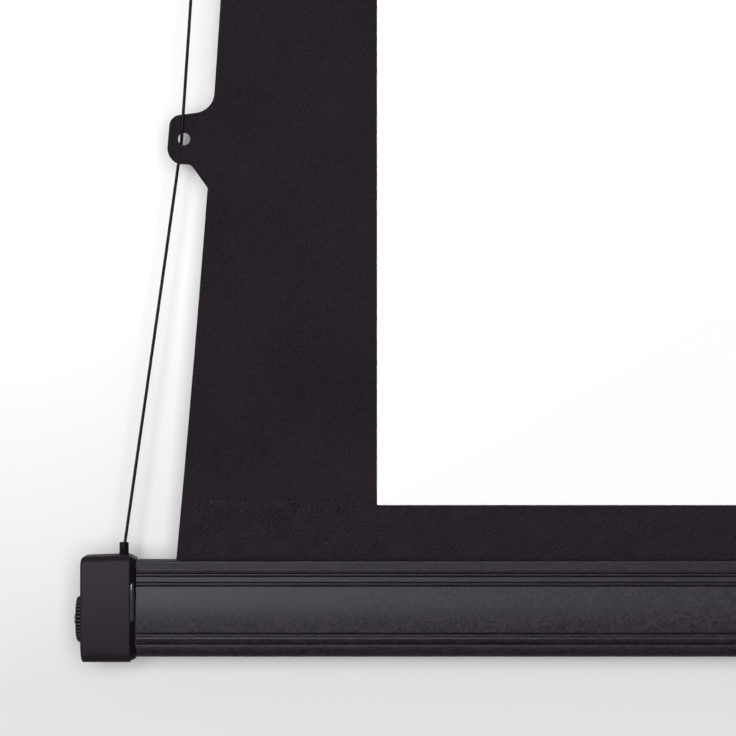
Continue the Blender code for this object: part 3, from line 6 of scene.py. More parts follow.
import bmesh
import bpy
import numpy as np
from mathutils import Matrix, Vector


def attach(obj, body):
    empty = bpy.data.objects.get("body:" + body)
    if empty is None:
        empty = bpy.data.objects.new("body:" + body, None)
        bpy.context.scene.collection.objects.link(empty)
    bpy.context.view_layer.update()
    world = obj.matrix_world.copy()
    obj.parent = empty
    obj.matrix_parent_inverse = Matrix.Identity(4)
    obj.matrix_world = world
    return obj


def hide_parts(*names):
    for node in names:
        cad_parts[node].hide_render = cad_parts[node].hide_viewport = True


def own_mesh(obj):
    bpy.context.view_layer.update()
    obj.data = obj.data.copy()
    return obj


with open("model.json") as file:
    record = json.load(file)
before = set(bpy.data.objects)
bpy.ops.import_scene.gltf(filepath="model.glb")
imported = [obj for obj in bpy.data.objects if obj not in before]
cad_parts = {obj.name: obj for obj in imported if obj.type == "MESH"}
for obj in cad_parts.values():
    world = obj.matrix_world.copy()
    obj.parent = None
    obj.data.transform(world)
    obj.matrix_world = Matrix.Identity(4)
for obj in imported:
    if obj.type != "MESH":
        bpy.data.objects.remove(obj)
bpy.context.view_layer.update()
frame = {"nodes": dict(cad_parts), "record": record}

# Sizes in metres, as the solids have them
FIT = 0.0003
SHEET_Y = -0.0240
SHEET_THICKNESS = 0.0004
LAYER_THICKNESS = 0.0003
VIEW_TOP = -0.0960
VIEW_HALF = 0.8855
VIEW_HEIGHT = 0.9960
BAR_TOP = -1.1140
DROP = 1.0680
ROLLER_Y = -0.0507
TUBE_RADIUS = 0.0250
ROLL_RADIUS = 0.0262
EDGE_CORNER = 0.9659
EDGE_INSET_AT_TAB = 0.01405
EDGE_SLOPE = 0.067
END_BOW = 0.00035
TAB_FIRST = 0.1686
TAB_HEIGHTS = [TAB_FIRST + (DROP - 2 * TAB_FIRST) / 3 * k for k in range(4)]
TAB_HOLE_OUT = 0.0109
TAB_HOLE_RADIUS = 0.00245
TAB_TIP_OUT = 0.0076
TAB_HALF_HEIGHT = 0.0100
TAB_SHOULDER = 0.0114
TAB_TOP_FALL = 0.0022
TAB_DIAGONAL = 0.0096
TAB_FILLET = 0.0083
TAB_TOP_ROUND = 0.0046
TAB_BOTTOM_ROUND = 0.0065
TAB_KNEE = 0.0027
TAB_KNEE_ROUND = 0.0030
TAB_LEAN = 0.0020
CORD_RADIUS = 0.00065
CORD_HALF_SPAN = 0.9868
CORD_IN_HOLE = 0.0010
CORD_BEND = 0.0045
CORD_LAYER = SHEET_THICKNESS / 2 + FIT + CORD_RADIUS
CAP_OUTER = 1.0035
CAP_LENGTH = 0.0217
CAP_OVERHANG = 0.0020
NIPPLE_HEIGHT = 0.0048
NIPPLE_LIP = 0.0004
KNOB_Z = BAR_TOP - 0.02365
BAR_HALF = 0.9815
BAR_DEPTH = 0.0180
BAR_HEIGHT = 0.0384
SIDES = {"left": -1, "right": 1}

scene = bpy.context.scene
scene.view_settings.view_transform = "Standard"


# Camera, straight in front of the lower left corner

CAMERA_X = -0.8891
CAMERA_Z = BAR_TOP + 0.0769
CAMERA_Y = -1.7240
CAMERA_LENS = 207.57
camera_data = bpy.data.cameras.new("camera")
camera_data.lens = CAMERA_LENS
camera_data.sensor_width = 36.0
camera = bpy.data.objects.new("camera", camera_data)
camera.location = (CAMERA_X, CAMERA_Y, CAMERA_Z)
camera.rotation_euler = (radians(90), 0, 0)
scene.collection.objects.link(camera)
scene.camera = camera


# Materials


def link(tree, source, target):
    """Connects two sockets."""
    tree.links.new(source, target)


def node(tree, kind, **settings):
    """A shader node with its properties and, by socket name, its input values."""
    made = tree.nodes.new("ShaderNode" + kind)
    for name, value in settings.items():
        if hasattr(made, name) and name not in made.inputs:
            setattr(made, name, value)
        else:
            made.inputs[name.replace("_", " ")].default_value = value
    return made


def maths(tree, operation, first, second=None, clamp=False):
    """The result of an operation on numbers or sockets."""
    made = tree.nodes.new("ShaderNodeMath")
    made.operation = operation
    made.use_clamp = clamp
    for socket, value in zip(made.inputs, (first, second)):
        if value is None:
            continue
        if isinstance(value, (int, float)):
            socket.default_value = value
        else:
            link(tree, value, socket)
    return made.outputs[0]


def effect(name, values):
    """An empty node group fed by a vector and named floats: (tree, its input node, its output node)."""
    tree = bpy.data.node_groups.new(name, "ShaderNodeTree")
    tree.interface.new_socket(name="Vector", in_out="INPUT", socket_type="NodeSocketVector")
    for title, value in values.items():
        socket = tree.interface.new_socket(name=title, in_out="INPUT", socket_type="NodeSocketFloat")
        socket.default_value = value
    for title in ("Tone", "Height"):
        tree.interface.new_socket(name=title, in_out="OUTPUT", socket_type="NodeSocketFloat")
    return tree, tree.nodes.new("NodeGroupInput"), tree.nodes.new("NodeGroupOutput")


def give(tree, result, tone, height):
    """Connects a group's two outputs and returns the group."""
    link(tree, tone, result.inputs["Tone"])
    link(tree, height, result.inputs["Height"])
    return tree


def noise(tree, vector, scale, detail, roughness):
    """The tone of a noise whose place and scale come from sockets."""
    made = node(tree, "TexNoise", Detail=detail, Roughness=roughness)
    link(tree, vector, made.inputs["Vector"])
    link(tree, scale, made.inputs["Scale"])
    return made.outputs["Fac"]


def make_speckle():
    """Fine grains: noise at the grain's size, with a slow cloud of tone over it."""
    tree, given, result = effect("speckle", {"Grain Scale": 1500.0, "Cloud Scale": 12.0, "Cloud Share": 0.2})
    place = given.outputs["Vector"]
    grain = noise(tree, place, given.outputs["Grain Scale"], 4.0, 0.65)
    cloud = noise(tree, place, given.outputs["Cloud Scale"], 3.0, 0.5)
    fine = maths(tree, "SUBTRACT", grain, 0.5)
    slow = maths(tree, "MULTIPLY", maths(tree, "SUBTRACT", cloud, 0.5), given.outputs["Cloud Share"])
    tone = maths(tree, "ADD", maths(tree, "ADD", fine, slow), 0.5, clamp=True)
    return give(tree, result, tone, grain)


def make_brushing():
    """Long fine scratches along X: noise whose place along X is first multiplied by a small share."""
    tree, given, result = effect("brushing", {"Scale": 2500.0, "Along": 0.01})
    squeeze = node(tree, "CombineXYZ", Y=1.0, Z=1.0)
    link(tree, given.outputs["Along"], squeeze.inputs["X"])
    stretched = node(tree, "VectorMath", operation="MULTIPLY")
    link(tree, given.outputs["Vector"], stretched.inputs[0])
    link(tree, squeeze.outputs["Vector"], stretched.inputs[1])
    tone = noise(tree, stretched.outputs["Vector"], given.outputs["Scale"], 3.0, 0.6)
    return give(tree, result, tone, tone)


def make_hatch():
    """A pressed hatch: fine bands that rise to the right, bent and broken up by noise."""
    tree, given, result = effect("hatch", {"Scale": 690.0, "Wander": 3.0, "Patch Scale": 120.0})
    mirror = node(tree, "VectorMath", operation="MULTIPLY")
    link(tree, given.outputs["Vector"], mirror.inputs[0])
    mirror.inputs[1].default_value = (-1, 0, 1)
    bands = node(tree, "TexWave", bands_direction="DIAGONAL", Detail=1.0)
    link(tree, mirror.outputs["Vector"], bands.inputs["Vector"])
    link(tree, given.outputs["Scale"], bands.inputs["Scale"])
    link(tree, given.outputs["Wander"], bands.inputs["Distortion"])
    patches = noise(tree, given.outputs["Vector"], given.outputs["Patch Scale"], 3.0, 0.7)
    depth = node(tree, "MapRange", From_Min=0.35, From_Max=0.65, To_Min=0.25, To_Max=1.0)
    link(tree, patches, depth.inputs["Value"])
    centred = maths(tree, "SUBTRACT", bands.outputs["Fac"], 0.5)
    swing = maths(tree, "MULTIPLY", centred, depth.outputs["Result"])
    height = maths(tree, "ADD", swing, 0.5, clamp=True)
    return give(tree, result, height, height)


def make_rib_painted_light():
    """Ribs told apart by the mesh's own coordinates: U is 0 on a rib's crest and 1 between two ribs; the
    crests get a painted highlight and the gaps painted shade.
    """
    tree, given, result = effect("painted_rib_light", {"Sharpness": 1.0})
    apart = node(tree, "SeparateXYZ")
    link(tree, given.outputs["Vector"], apart.inputs["Vector"])
    crest = maths(tree, "POWER", maths(tree, "SUBTRACT", 1.0, apart.outputs["X"], clamp=True),
                  given.outputs["Sharpness"])
    return give(tree, result, crest, crest)


SPECKLE = make_speckle()
HATCH = make_hatch()
RIB_PAINTED_LIGHT = make_rib_painted_light()
BRUSHING = make_brushing()


def finish_of(name, dark, light, roughness, group, values, bump=0.0, depth=0.0002, metallic=0.0,
              specular=0.5, rough_swing=0.0, coordinates="Object", spread=0.25, coat=0.0):
    """A material whose colour runs from dark to light with an effect group's tone, and with its bump."""
    made = bpy.data.materials.new(name)
    made.use_nodes = True
    tree = made.node_tree
    shader = tree.nodes["Principled BSDF"]
    shader.inputs["Metallic"].default_value = metallic
    shader.inputs["Specular IOR Level"].default_value = specular
    shader.inputs["Coat Weight"].default_value = coat
    shader.inputs["Coat Roughness"].default_value = 0.15
    place = node(tree, "TexCoord")
    pattern = tree.nodes.new("ShaderNodeGroup")
    pattern.node_tree = group
    link(tree, place.outputs[coordinates], pattern.inputs["Vector"])
    for title, value in values.items():
        pattern.inputs[title].default_value = value
    colours = node(tree, "ValToRGB")
    colours.color_ramp.elements[0].position = 0.5 - spread
    colours.color_ramp.elements[0].color = (*dark, 1)
    colours.color_ramp.elements[1].position = 0.5 + spread
    colours.color_ramp.elements[1].color = (*light, 1)
    link(tree, pattern.outputs["Tone"], colours.inputs["Fac"])
    link(tree, colours.outputs["Color"], shader.inputs["Base Color"])
    if rough_swing:
        swing = node(tree, "MapRange", From_Min=0.2, From_Max=0.8, To_Min=roughness - rough_swing,
                     To_Max=roughness + rough_swing)
        link(tree, pattern.outputs["Tone"], swing.inputs["Value"])
        link(tree, swing.outputs["Result"], shader.inputs["Roughness"])
    else:
        shader.inputs["Roughness"].default_value = roughness
    if bump:
        relief = node(tree, "Bump", Strength=bump, Distance=depth)
        link(tree, pattern.outputs["Height"], relief.inputs["Height"])
        link(tree, relief.outputs["Normal"], shader.inputs["Normal"])
    return made


def shade(colour, factor):
    """The colour with each channel times the factor."""
    return tuple(channel * factor for channel in colour)


BAR_BLACK = (0.0152, 0.0114, 0.0176)
CASE_BLACK = (0.0200, 0.0178, 0.0212)
PLASTIC_BLACK = (0.0176, 0.0128, 0.0182)
FABRIC_BLACK = (0.0150, 0.0108, 0.0150)

COAT_GRAIN = {"Grain Scale": 1400.0, "Cloud Scale": 420.0, "Cloud Share": 0.25}
bar_coat, case_coat = (
    finish_of(name, shade(colour, 0.30), shade(colour, 1.70), 0.39, SPECKLE, COAT_GRAIN, bump=0.5,
              depth=0.00010, rough_swing=0.10, spread=0.09)
    for name, colour in (("bar_powder_coat", BAR_BLACK), ("case_powder_coat", CASE_BLACK)))
MOULD_GRAIN = {"Grain Scale": 900.0, "Cloud Scale": 90.0, "Cloud Share": 0.6}
cap_plastic = finish_of("moulded_black_plastic", shade(PLASTIC_BLACK, 0.80), shade(PLASTIC_BLACK, 1.08), 0.38,
                        SPECKLE, MOULD_GRAIN, bump=0.08, depth=0.0001, rough_swing=0.03, specular=0.13)
matt_plastic = finish_of("matt_case_end_plastic", shade(PLASTIC_BLACK, 0.80), shade(PLASTIC_BLACK, 1.20),
                         0.62, SPECKLE, MOULD_GRAIN, bump=0.3, depth=0.0001, rough_swing=0.05,
                         specular=0.05)
glossy_plastic = finish_of("glossy_black_plastic", (0.017, 0.019, 0.022), (0.023, 0.025, 0.028), 0.16,
                           SPECKLE, MOULD_GRAIN, bump=0.02, depth=0.0001, coat=0.5)
# A darker copy of the cap's black: the nipple's own black, and on the collar painted shade over the chamfer
# that faces away from the light.
dark_plastic_and_collar_shade = finish_of("dark_gloss_plastic_and_painted_collar_shade", shade(PLASTIC_BLACK, 0.25), shade(PLASTIC_BLACK, 0.4), 0.22,
                         SPECKLE, MOULD_GRAIN, bump=0.03, depth=0.0001, specular=0.16)
# The knob's colour runs from black between the ribs to grey on their crests: painted shade and painted
# highlight.
knob_plastic_and_painted_rib_light = finish_of("ribbed_knob_plastic_with_painted_light", (0.0004, 0.0004, 0.0004), (0.092, 0.084, 0.084), 0.34,
                         RIB_PAINTED_LIGHT, {"Sharpness": 6.0}, specular=0.12, coordinates="UV", spread=0.5)
grey_plastic = finish_of("grey_nylon", (0.17, 0.17, 0.18), (0.22, 0.22, 0.23), 0.5, SPECKLE,
                         {"Grain Scale": 800.0, "Cloud Scale": 40.0, "Cloud Share": 0.8}, bump=0.05)
border_cloth = finish_of("black_border_cloth", shade(FABRIC_BLACK, 0.66), shade(FABRIC_BLACK, 1.30), 0.62,
                         SPECKLE, {"Grain Scale": 1300.0, "Cloud Scale": 28.0, "Cloud Share": 0.3}, bump=0.3,
                         depth=0.00015, specular=0.10, spread=0.16)
# The strip's colour follows the hatch's height, near black in its hollows and grey on its raised bands:
# painted shade and painted highlight over the real relief of the bump.
strip_cloth_and_painted_light = finish_of("black_embossed_strip_with_painted_highlights", shade(FABRIC_BLACK, 0.05), shade(FABRIC_BLACK, 2.15), 0.5,
                        HATCH, {"Scale": 640.0, "Wander": 6.5, "Patch Scale": 160.0}, bump=0.6,
                        depth=0.0003, specular=0.12, spread=0.25)
white_cloth = finish_of("matt_white_surface", (0.93, 0.93, 0.93), (0.95, 0.95, 0.95), 0.9, SPECKLE,
                        {"Grain Scale": 2600.0, "Cloud Scale": 5.0, "Cloud Share": 0.1}, bump=0.02,
                        depth=0.0001, specular=0.1)
cord_fibre = finish_of("black_cord_fibre", (0.0015, 0.0015, 0.0015), (0.0075, 0.0070, 0.0075), 0.34, BRUSHING,
                       {"Scale": 1400.0, "Along": 0.4}, bump=0.5, depth=0.0002, specular=0.3, spread=0.15)
zinc_steel = finish_of("zinc_plated_steel", (0.50, 0.50, 0.52), (0.66, 0.66, 0.67), 0.32, SPECKLE,
                       {"Grain Scale": 260.0, "Cloud Scale": 30.0, "Cloud Share": 0.6}, metallic=1.0,
                       rough_swing=0.07, bump=0.03)
spring_steel = finish_of("polished_steel", (0.40, 0.40, 0.42), (0.52, 0.52, 0.54), 0.24, BRUSHING,
                         {"Scale": 2500.0, "Along": 0.02}, metallic=1.0, rough_swing=0.05)
tube_aluminium = finish_of("drawn_aluminium", (0.62, 0.63, 0.64), (0.76, 0.77, 0.78), 0.36, BRUSHING,
                           {"Scale": 1800.0, "Along": 0.01}, metallic=1.0, rough_swing=0.06, bump=0.03)
bush_bronze = finish_of("sintered_bronze", (0.36, 0.23, 0.09), (0.48, 0.33, 0.15), 0.42, SPECKLE,
                        {"Grain Scale": 2200.0, "Cloud Scale": 90.0, "Cloud Share": 0.4}, metallic=1.0,
                        bump=0.1)


# Meshes from arrays of points


def grid_faces(rows, columns, wrap=False):
    """Corner numbers of the squares between neighbouring rows and columns of a grid of points."""
    across = columns if wrap else columns - 1
    i, j = np.meshgrid(np.arange(rows - 1), np.arange(across), indexing="ij")
    after = (j + 1) % columns
    corners = [i * columns + j, i * columns + after, (i + 1) * columns + after, (i + 1) * columns + j]
    return np.stack(corners, axis=-1).reshape(-1, 4)


def add_piece(name, points, faces, material, body, stands_for=(), sharp=35, uv=None):
    """A mesh piece from points and faces, smooth apart from edges sharper than the given angle."""
    mesh = bpy.data.meshes.new(name)
    mesh.from_pydata(np.asarray(points, float).tolist(), [], [list(map(int, face)) for face in faces])
    if uv is not None:
        layer = mesh.uv_layers.new(name="UVMap")
        corner = np.zeros(len(mesh.loops), dtype=np.int32)
        mesh.loops.foreach_get("vertex_index", corner)
        layer.data.foreach_set("uv", np.asarray(uv, float)[corner].ravel())
    mesh.validate()
    piece = bpy.data.objects.new(name, mesh)
    scene.collection.objects.link(piece)
    set_normals(mesh, sharp)
    mesh.materials.append(material)
    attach(piece, body)
    if stands_for:
        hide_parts(*stands_for)
    return piece


def set_normals(mesh, sharp):
    """Merges doubles, turns all faces outwards and marks the sharp edges."""
    bm = bmesh.new()
    bm.from_mesh(mesh)
    bmesh.ops.remove_doubles(bm, verts=bm.verts, dist=1e-7)
    bmesh.ops.recalc_face_normals(bm, faces=bm.faces)
    bm.to_mesh(mesh)
    bm.free()
    mesh.shade_smooth()
    mesh.set_sharp_from_angle(angle=radians(sharp))


def rounded(corners, fine=8):
    """Points of a closed outline whose corners (a, b, radius) are rounded by arcs."""
    points = []
    for k, (a, b, radius) in enumerate(corners):
        if radius <= 0:
            points.append((a, b))
            continue
        corner = Vector((a, b))
        back = Vector(corners[k - 1][:2]) - corner
        ahead = Vector(corners[(k + 1) % len(corners)][:2]) - corner
        half = back.angle(ahead) / 2
        reach = min(radius / tan(half), 0.49 * back.length, 0.49 * ahead.length)
        radius = reach * tan(half)
        back.normalize()
        ahead.normalize()
        centre = corner + (back + ahead).normalized() * (radius / sin(half))
        first = corner + back * reach - centre
        turn = first.angle_signed(corner + ahead * reach - centre)
        steps = max(2, ceil(fine * abs(turn) / (pi / 2) - 0.001))
        angles = atan2(first.y, first.x) - turn * np.arange(steps + 1) / steps
        points += list(zip(centre.x + radius * np.cos(angles), centre.y + radius * np.sin(angles)))
    return points


def box_outline(a0, a1, b0, b1, radius):
    """Corners (a, b, radius) of a rectangle."""
    return [(a0, b0, radius), (a1, b0, radius), (a1, b1, radius), (a0, b1, radius)]


def along_x(profile, stations):
    """Points and faces of a closed (y, z) profile carried along X, with flat ends."""
    profile = np.asarray(profile, float)
    stations = np.asarray(stations, float)
    points = np.zeros((len(stations), len(profile), 3))
    points[..., 0] = stations[:, None]
    points[..., 1:] = profile[None]
    count = len(profile)
    faces = [list(face) for face in grid_faces(len(stations), count, wrap=True)]
    last = (len(stations) - 1) * count
    faces += [list(range(count)), list(range(last, last + count))]
    return points.reshape(-1, 3), faces


def ring_stack(rings, close_first=True, close_last=True):
    """Points and faces through rings of equal count, with flat ends where they are asked for."""
    rings = np.asarray(rings, float)
    rows, count = rings.shape[:2]
    faces = [list(face) for face in grid_faces(rows, count, wrap=True)]
    if close_first:
        faces.append(list(range(count)))
    if close_last:
        faces.append(list(range((rows - 1) * count, rows * count)))
    return rings.reshape(-1, 3), faces


def turned(profile, axis, at, count=48, close=True):
    """Points and faces of (distance along the axis, radius) points turned about an axis through a point."""
    profile = np.asarray(profile, float)
    angles = 2 * pi * np.arange(count) / count
    along, radius = profile[:, 0, None], profile[:, 1, None]
    flat = np.stack([along + 0 * angles, radius * np.cos(angles), radius * np.sin(angles)], axis=-1)
    order = {"x": (0, 1, 2), "z": (1, 2, 0)}[axis]
    return ring_stack(flat[..., order] + np.asarray(at, float), close, close)


def cut_sheet(outline, holes, y_front, y_back):
    """Points and faces of a flat (x, z) outline with holes, filled and given its thickness along Y."""
    bm = bmesh.new()
    edges = []
    for loop in [outline, *holes]:
        verts = [bm.verts.new((x, y_front, z)) for x, z in loop]
        edges += [bm.edges.new((verts[k - 1], verts[k])) for k in range(len(verts))]
    bmesh.ops.triangle_fill(bm, edges=edges, use_beauty=True, use_dissolve=False)
    moved = bmesh.ops.extrude_face_region(bm, geom=bm.faces[:])["geom"]
    far = [item for item in moved if isinstance(item, bmesh.types.BMVert)]
    bmesh.ops.translate(bm, verts=far, vec=(0, y_back - y_front, 0))
    bm.verts.index_update()
    points = [tuple(vert.co) for vert in bm.verts]
    faces = [[vert.index for vert in face.verts] for face in bm.faces]
    bm.free()
    return points, faces


def circle(a, b, radius, count=32):
    """Points evenly round a centre (a, b)."""
    angles = 2 * pi * np.arange(count) / count
    return list(zip(a + radius * np.cos(angles), b + radius * np.sin(angles)))


# Tension cords: a free run that shortens with the lift, and the turns at its two ends

# Heights from a tab's hole at which the cord lies flat behind the fabric, and flat before it
BEHIND_HOLE = (-0.0110, -0.0040)
BEFORE_HOLE = (0.0040, 0.0125)
NEAR_HOLE = 0.0022
NEAR_LAYER = 0.8 * CORD_LAYER
TOP_ROOM = 0.00025
SPOOL_TURNS = 3
TURN_GAP = 0.00045
DRUM_RADIUS = 0.0034
DRUM_START = 0.0062
ROLLER_TURNS = 1.25
ROLLER_DRIFT = 0.0034
ANCHOR_HALF = 0.0015
STRANDS = 3
LAY_LENGTH = 0.0042
CORD_GIRTH = 0.0036


def edge_half_width(height):
    """Half the fabric's width: it narrows towards the middle tabs, with a slight bow near the ends."""
    from_end = max(0.0, min(height, DROP - height))
    if from_end <= TAB_FIRST:
        share = from_end / TAB_FIRST
        inset = EDGE_INSET_AT_TAB * share + END_BOW * 4 * share * (1 - share)
    else:
        inset = EDGE_INSET_AT_TAB + EDGE_SLOPE * (min(from_end, TAB_HEIGHTS[1]) - TAB_FIRST)
    return EDGE_CORNER - inset


def smooth_path(points, step):
    """A Hermite curve through the points, its slopes from their neighbours, in even steps."""
    points = np.asarray(points, float)
    at = np.concatenate([[0], np.cumsum(np.linalg.norm(np.diff(points, axis=0), axis=1))])
    slope = np.gradient(points, at, axis=0)
    fine = np.linspace(0, at[-1], max(8, int(at[-1] / step)))
    k = np.clip(np.searchsorted(at, fine, side="right") - 1, 0, len(at) - 2)
    gap = (at[k + 1] - at[k])[:, None]
    t = ((fine - at[k]) / (at[k + 1] - at[k]))[:, None]
    return ((2 * t**3 - 3 * t**2 + 1) * points[k] + (t**3 - 2 * t**2 + t) * gap * slope[k]
            + (3 * t**2 - 2 * t**3) * points[k + 1] + (t**3 - t**2) * gap * slope[k + 1])


def hole_places():
    """Where one cord passes through its four tabs, as (x, z) at the right-hand side."""
    return [(edge_half_width(height) + TAB_HOLE_OUT + CORD_IN_HOLE, BAR_TOP + height)
            for height in TAB_HEIGHTS]


def mouth_place(above=0.0):
    """Where the cord is at a height above the nipple's mouth, on its way to the lowest tab."""
    x, z = hole_places()[0]
    mouth = BAR_TOP + CAP_OVERHANG + NIPPLE_HEIGHT + NIPPLE_LIP + above
    lean = (CORD_HALF_SPAN - x) / (z - BAR_TOP - CORD_BEND)
    return CORD_HALF_SPAN - lean * (mouth - BAR_TOP - CORD_BEND), SHEET_Y, mouth


def free_run():
    """Route of one cord from the nipple's mouth past its four tabs to the roller, at the right-hand side."""
    behind, before = SHEET_Y + CORD_LAYER, SHEET_Y - CORD_LAYER
    holes = hole_places()
    route = [mouth_place(0.00002)]
    below = (CORD_HALF_SPAN, BAR_TOP)
    for (x, z), (next_x, next_z) in zip(holes, holes[1:] + [(CORD_HALF_SPAN, 0.0)]):
        fall = (below[0] - x) / (z - below[1])
        rise = (next_x - x) / (next_z - z)
        route += [(x - fall * step, behind, z + step) for step in BEHIND_HOLE]
        route += [(x + fall * NEAR_HOLE, SHEET_Y + NEAR_LAYER, z - NEAR_HOLE), (x, SHEET_Y, z),
                  (x + rise * NEAR_HOLE, SHEET_Y - NEAR_LAYER, z + NEAR_HOLE)]
        route += [(x + rise * step, before, z + step) for step in BEFORE_HOLE]
        below = (x, z)
    top_x, top_z = holes[-1]
    route[-1] = (route[-1][0], before + TOP_ROOM, route[-1][2])
    route.append((top_x + (CORD_HALF_SPAN - top_x) * 0.8, ROLLER_Y + TUBE_RADIUS + CORD_RADIUS + TOP_ROOM,
                  top_z * 0.2))
    route.append((CORD_HALF_SPAN, ROLLER_Y + TUBE_RADIUS + FIT + CORD_RADIUS, 0.0))
    return np.array(route)


def spool_turns():
    """Three turns on the spool and the rise from it through the cap's bore and the nipple."""
    radius, pitch = DRUM_RADIUS + FIT + CORD_RADIUS, 2 * CORD_RADIUS + TURN_GAP
    share = np.arange(SPOOL_TURNS * 24 + 1) / (SPOOL_TURNS * 24)
    angle = pi + 2 * pi * SPOOL_TURNS * (1 - share)
    inwards = DRUM_START + CORD_RADIUS + FIT + pitch * SPOOL_TURNS * share
    coil = np.stack([CAP_OUTER - inwards, SHEET_Y + radius * np.cos(angle), KNOB_Z + radius * np.sin(angle)],
                    axis=-1)
    leave = coil[-1]
    rise = [leave + (-0.0001, 0.00005, 0.0020), leave + (-0.0006, 0.0008, 0.0065),
            (CORD_HALF_SPAN + 0.0003, SHEET_Y - 0.0006, BAR_TOP - 0.0060),
            (CORD_HALF_SPAN, SHEET_Y, BAR_TOP - 0.0012), (CORD_HALF_SPAN, SHEET_Y, BAR_TOP + CORD_BEND),
            mouth_place(-0.0001)]
    return np.vstack([coil, rise])


def roller_turns():
    """A turn and a quarter on the roller's bare end, from the wall side over the top to the anchor."""
    wrap = TUBE_RADIUS + FIT + CORD_RADIUS
    whole = 2 * pi * ROLLER_TURNS - (ANCHOR_HALF + FIT + CORD_RADIUS / 2) / wrap
    share = np.arange(61) / 60
    return np.stack([CORD_HALF_SPAN + ROLLER_DRIFT * share, ROLLER_Y + wrap * np.cos(whole * share),
                     wrap * np.sin(whole * share)], axis=-1)


def twisted_cord(name, route, side, body, stands_for=(), step=0.0005):
    """A tube along the route whose section has one lobe a strand, and turns once in each lay length.

    Its radius runs from 0.86 of the cord's between two strands to the whole of it on a strand.
    """
    path = smooth_path(route * (side, 1, 1), step)
    along = np.concatenate([[0], np.cumsum(np.linalg.norm(np.diff(path, axis=0), axis=1))])
    tangent = np.gradient(path, axis=0)
    tangent /= np.linalg.norm(tangent, axis=1)[:, None]
    aside = np.array([1.0, 0, 0]) - tangent * tangent[:, :1]
    aside /= np.linalg.norm(aside, axis=1)[:, None]
    ahead = np.cross(tangent, aside)
    around = 2 * pi * np.arange(12) / 12
    twist = around[None] - 2 * pi * along[:, None] / LAY_LENGTH
    radius = CORD_RADIUS * (0.86 + 0.14 * np.abs(np.cos(STRANDS / 2 * twist)))
    points = (path[:, None] + radius[..., None] * (np.cos(around)[None, :, None] * aside[:, None]
                                                   + np.sin(around)[None, :, None] * ahead[:, None]))
    uv = np.stack([np.repeat(along, 12), np.tile(around / (2 * pi) * CORD_GIRTH, len(path))], axis=-1)
    points, faces = ring_stack(points)
    piece = add_piece(name, points, faces, cord_fibre, body, stands_for, 60, uv)
    return piece, path


run = free_run()
for word, side in SIDES.items():
    free, path = twisted_cord("tension_cord_run_" + word, run, side, "case", ("tension_cord_" + word,))
    wound, _ = twisted_cord("tension_cord_spool_turns_" + word, spool_turns(), side, "bottom_bar")
    upper, _ = twisted_cord("tension_cord_roller_turns_" + word, roller_turns(), side, "roller")
    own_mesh(free)


# Fabric

SHEET_IN_SLOT = 0.0020
TAB_BOTTOM_IN = 0.0038
TAB_SIDE_IN = 0.0007
TAB_SIDE_UP = 0.0046


def tab_corners(height):
    """Corners of one tab from its diagonal up to its upper fillet, as (half width, z, radius)."""
    hole = edge_half_width(height) + TAB_HOLE_OUT
    low, top = height - TAB_HALF_HEIGHT, height + TAB_SHOULDER
    return [
        (edge_half_width(low - TAB_DIAGONAL), low - TAB_DIAGONAL, 0.0010),
        (hole - TAB_KNEE, low - 0.0002, TAB_KNEE_ROUND),
        (hole + TAB_TIP_OUT - TAB_BOTTOM_IN, low, TAB_BOTTOM_ROUND),
        (hole + TAB_TIP_OUT - TAB_SIDE_IN, low + TAB_SIDE_UP, TAB_BOTTOM_ROUND),
        (hole + TAB_TIP_OUT - TAB_LEAN, top - TAB_TOP_FALL, TAB_TOP_ROUND),
        (edge_half_width(top), top, TAB_FILLET),
    ]


def side_corners():
    """Corners of one edge of the fabric from inside the bar's slot up to the roller."""
    last = TAB_HEIGHTS[0] - TAB_HALF_HEIGHT - TAB_DIAGONAL
    corners = [(EDGE_CORNER, -SHEET_IN_SLOT, 0)]
    corners += [(edge_half_width(last * k / 8), last * k / 8, 0) for k in range(8)]
    for height in TAB_HEIGHTS:
        corners += tab_corners(height)
    first = TAB_HEIGHTS[-1] + TAB_SHOULDER + 2 * TAB_FILLET
    corners += [(edge_half_width(first + (DROP - first) * k / 8), first + (DROP - first) * k / 8, 0)
                for k in range(1, 9)]
    corners.append((EDGE_CORNER, -BAR_TOP, 0))
    return corners


edge = side_corners()
left_edge = [(-half, BAR_TOP + height, radius) for half, height, radius in edge]
right_edge = [(half, BAR_TOP + height, radius) for half, height, radius in reversed(edge)]
tab_holes = [circle(side * (edge_half_width(height) + TAB_HOLE_OUT), BAR_TOP + height, TAB_HOLE_RADIUS)
             for side in SIDES.values() for height in TAB_HEIGHTS]
points, faces = cut_sheet(rounded(left_edge + right_edge), tab_holes, SHEET_Y - SHEET_THICKNESS / 2,
                          SHEET_Y + SHEET_THICKNESS / 2)
screen_sheet = add_piece("screen_sheet_cloth", points, faces, border_cloth, "case", ("screen_sheet",),
                         30)
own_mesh(screen_sheet)
sheet_outline = np.array(rounded(left_edge + right_edge))

layer_back = SHEET_Y - SHEET_THICKNESS / 2 - FIT
layer_middle = layer_back - LAYER_THICKNESS / 2
view_middle = VIEW_TOP - VIEW_HEIGHT / 2


def film(half_width, half_height, thickness, centre):
    """A thin film on a grid of height and angle round it: its edge is a half circle in section."""
    fall = np.concatenate([[0.0], np.linspace(0, pi, 9), [pi]])
    inward = np.where(np.arange(11) % 10 == 0, 1.0, 0.0)
    rings = []
    for angle, middle in zip(fall, inward):
        grow = thickness / 2 * (sin(angle) - 1)
        size = (half_width + grow) * (1 - 0.5 * middle), (half_height + grow) * (1 - 0.5 * middle)
        outline = rounded(box_outline(-size[0], size[0], -size[1], size[1], 0.0004), 3)
        y = centre[1] - thickness / 2 * cos(angle)
        rings.append([(centre[0] + a, y, centre[2] + b) for a, b in outline])
    return ring_stack(rings)


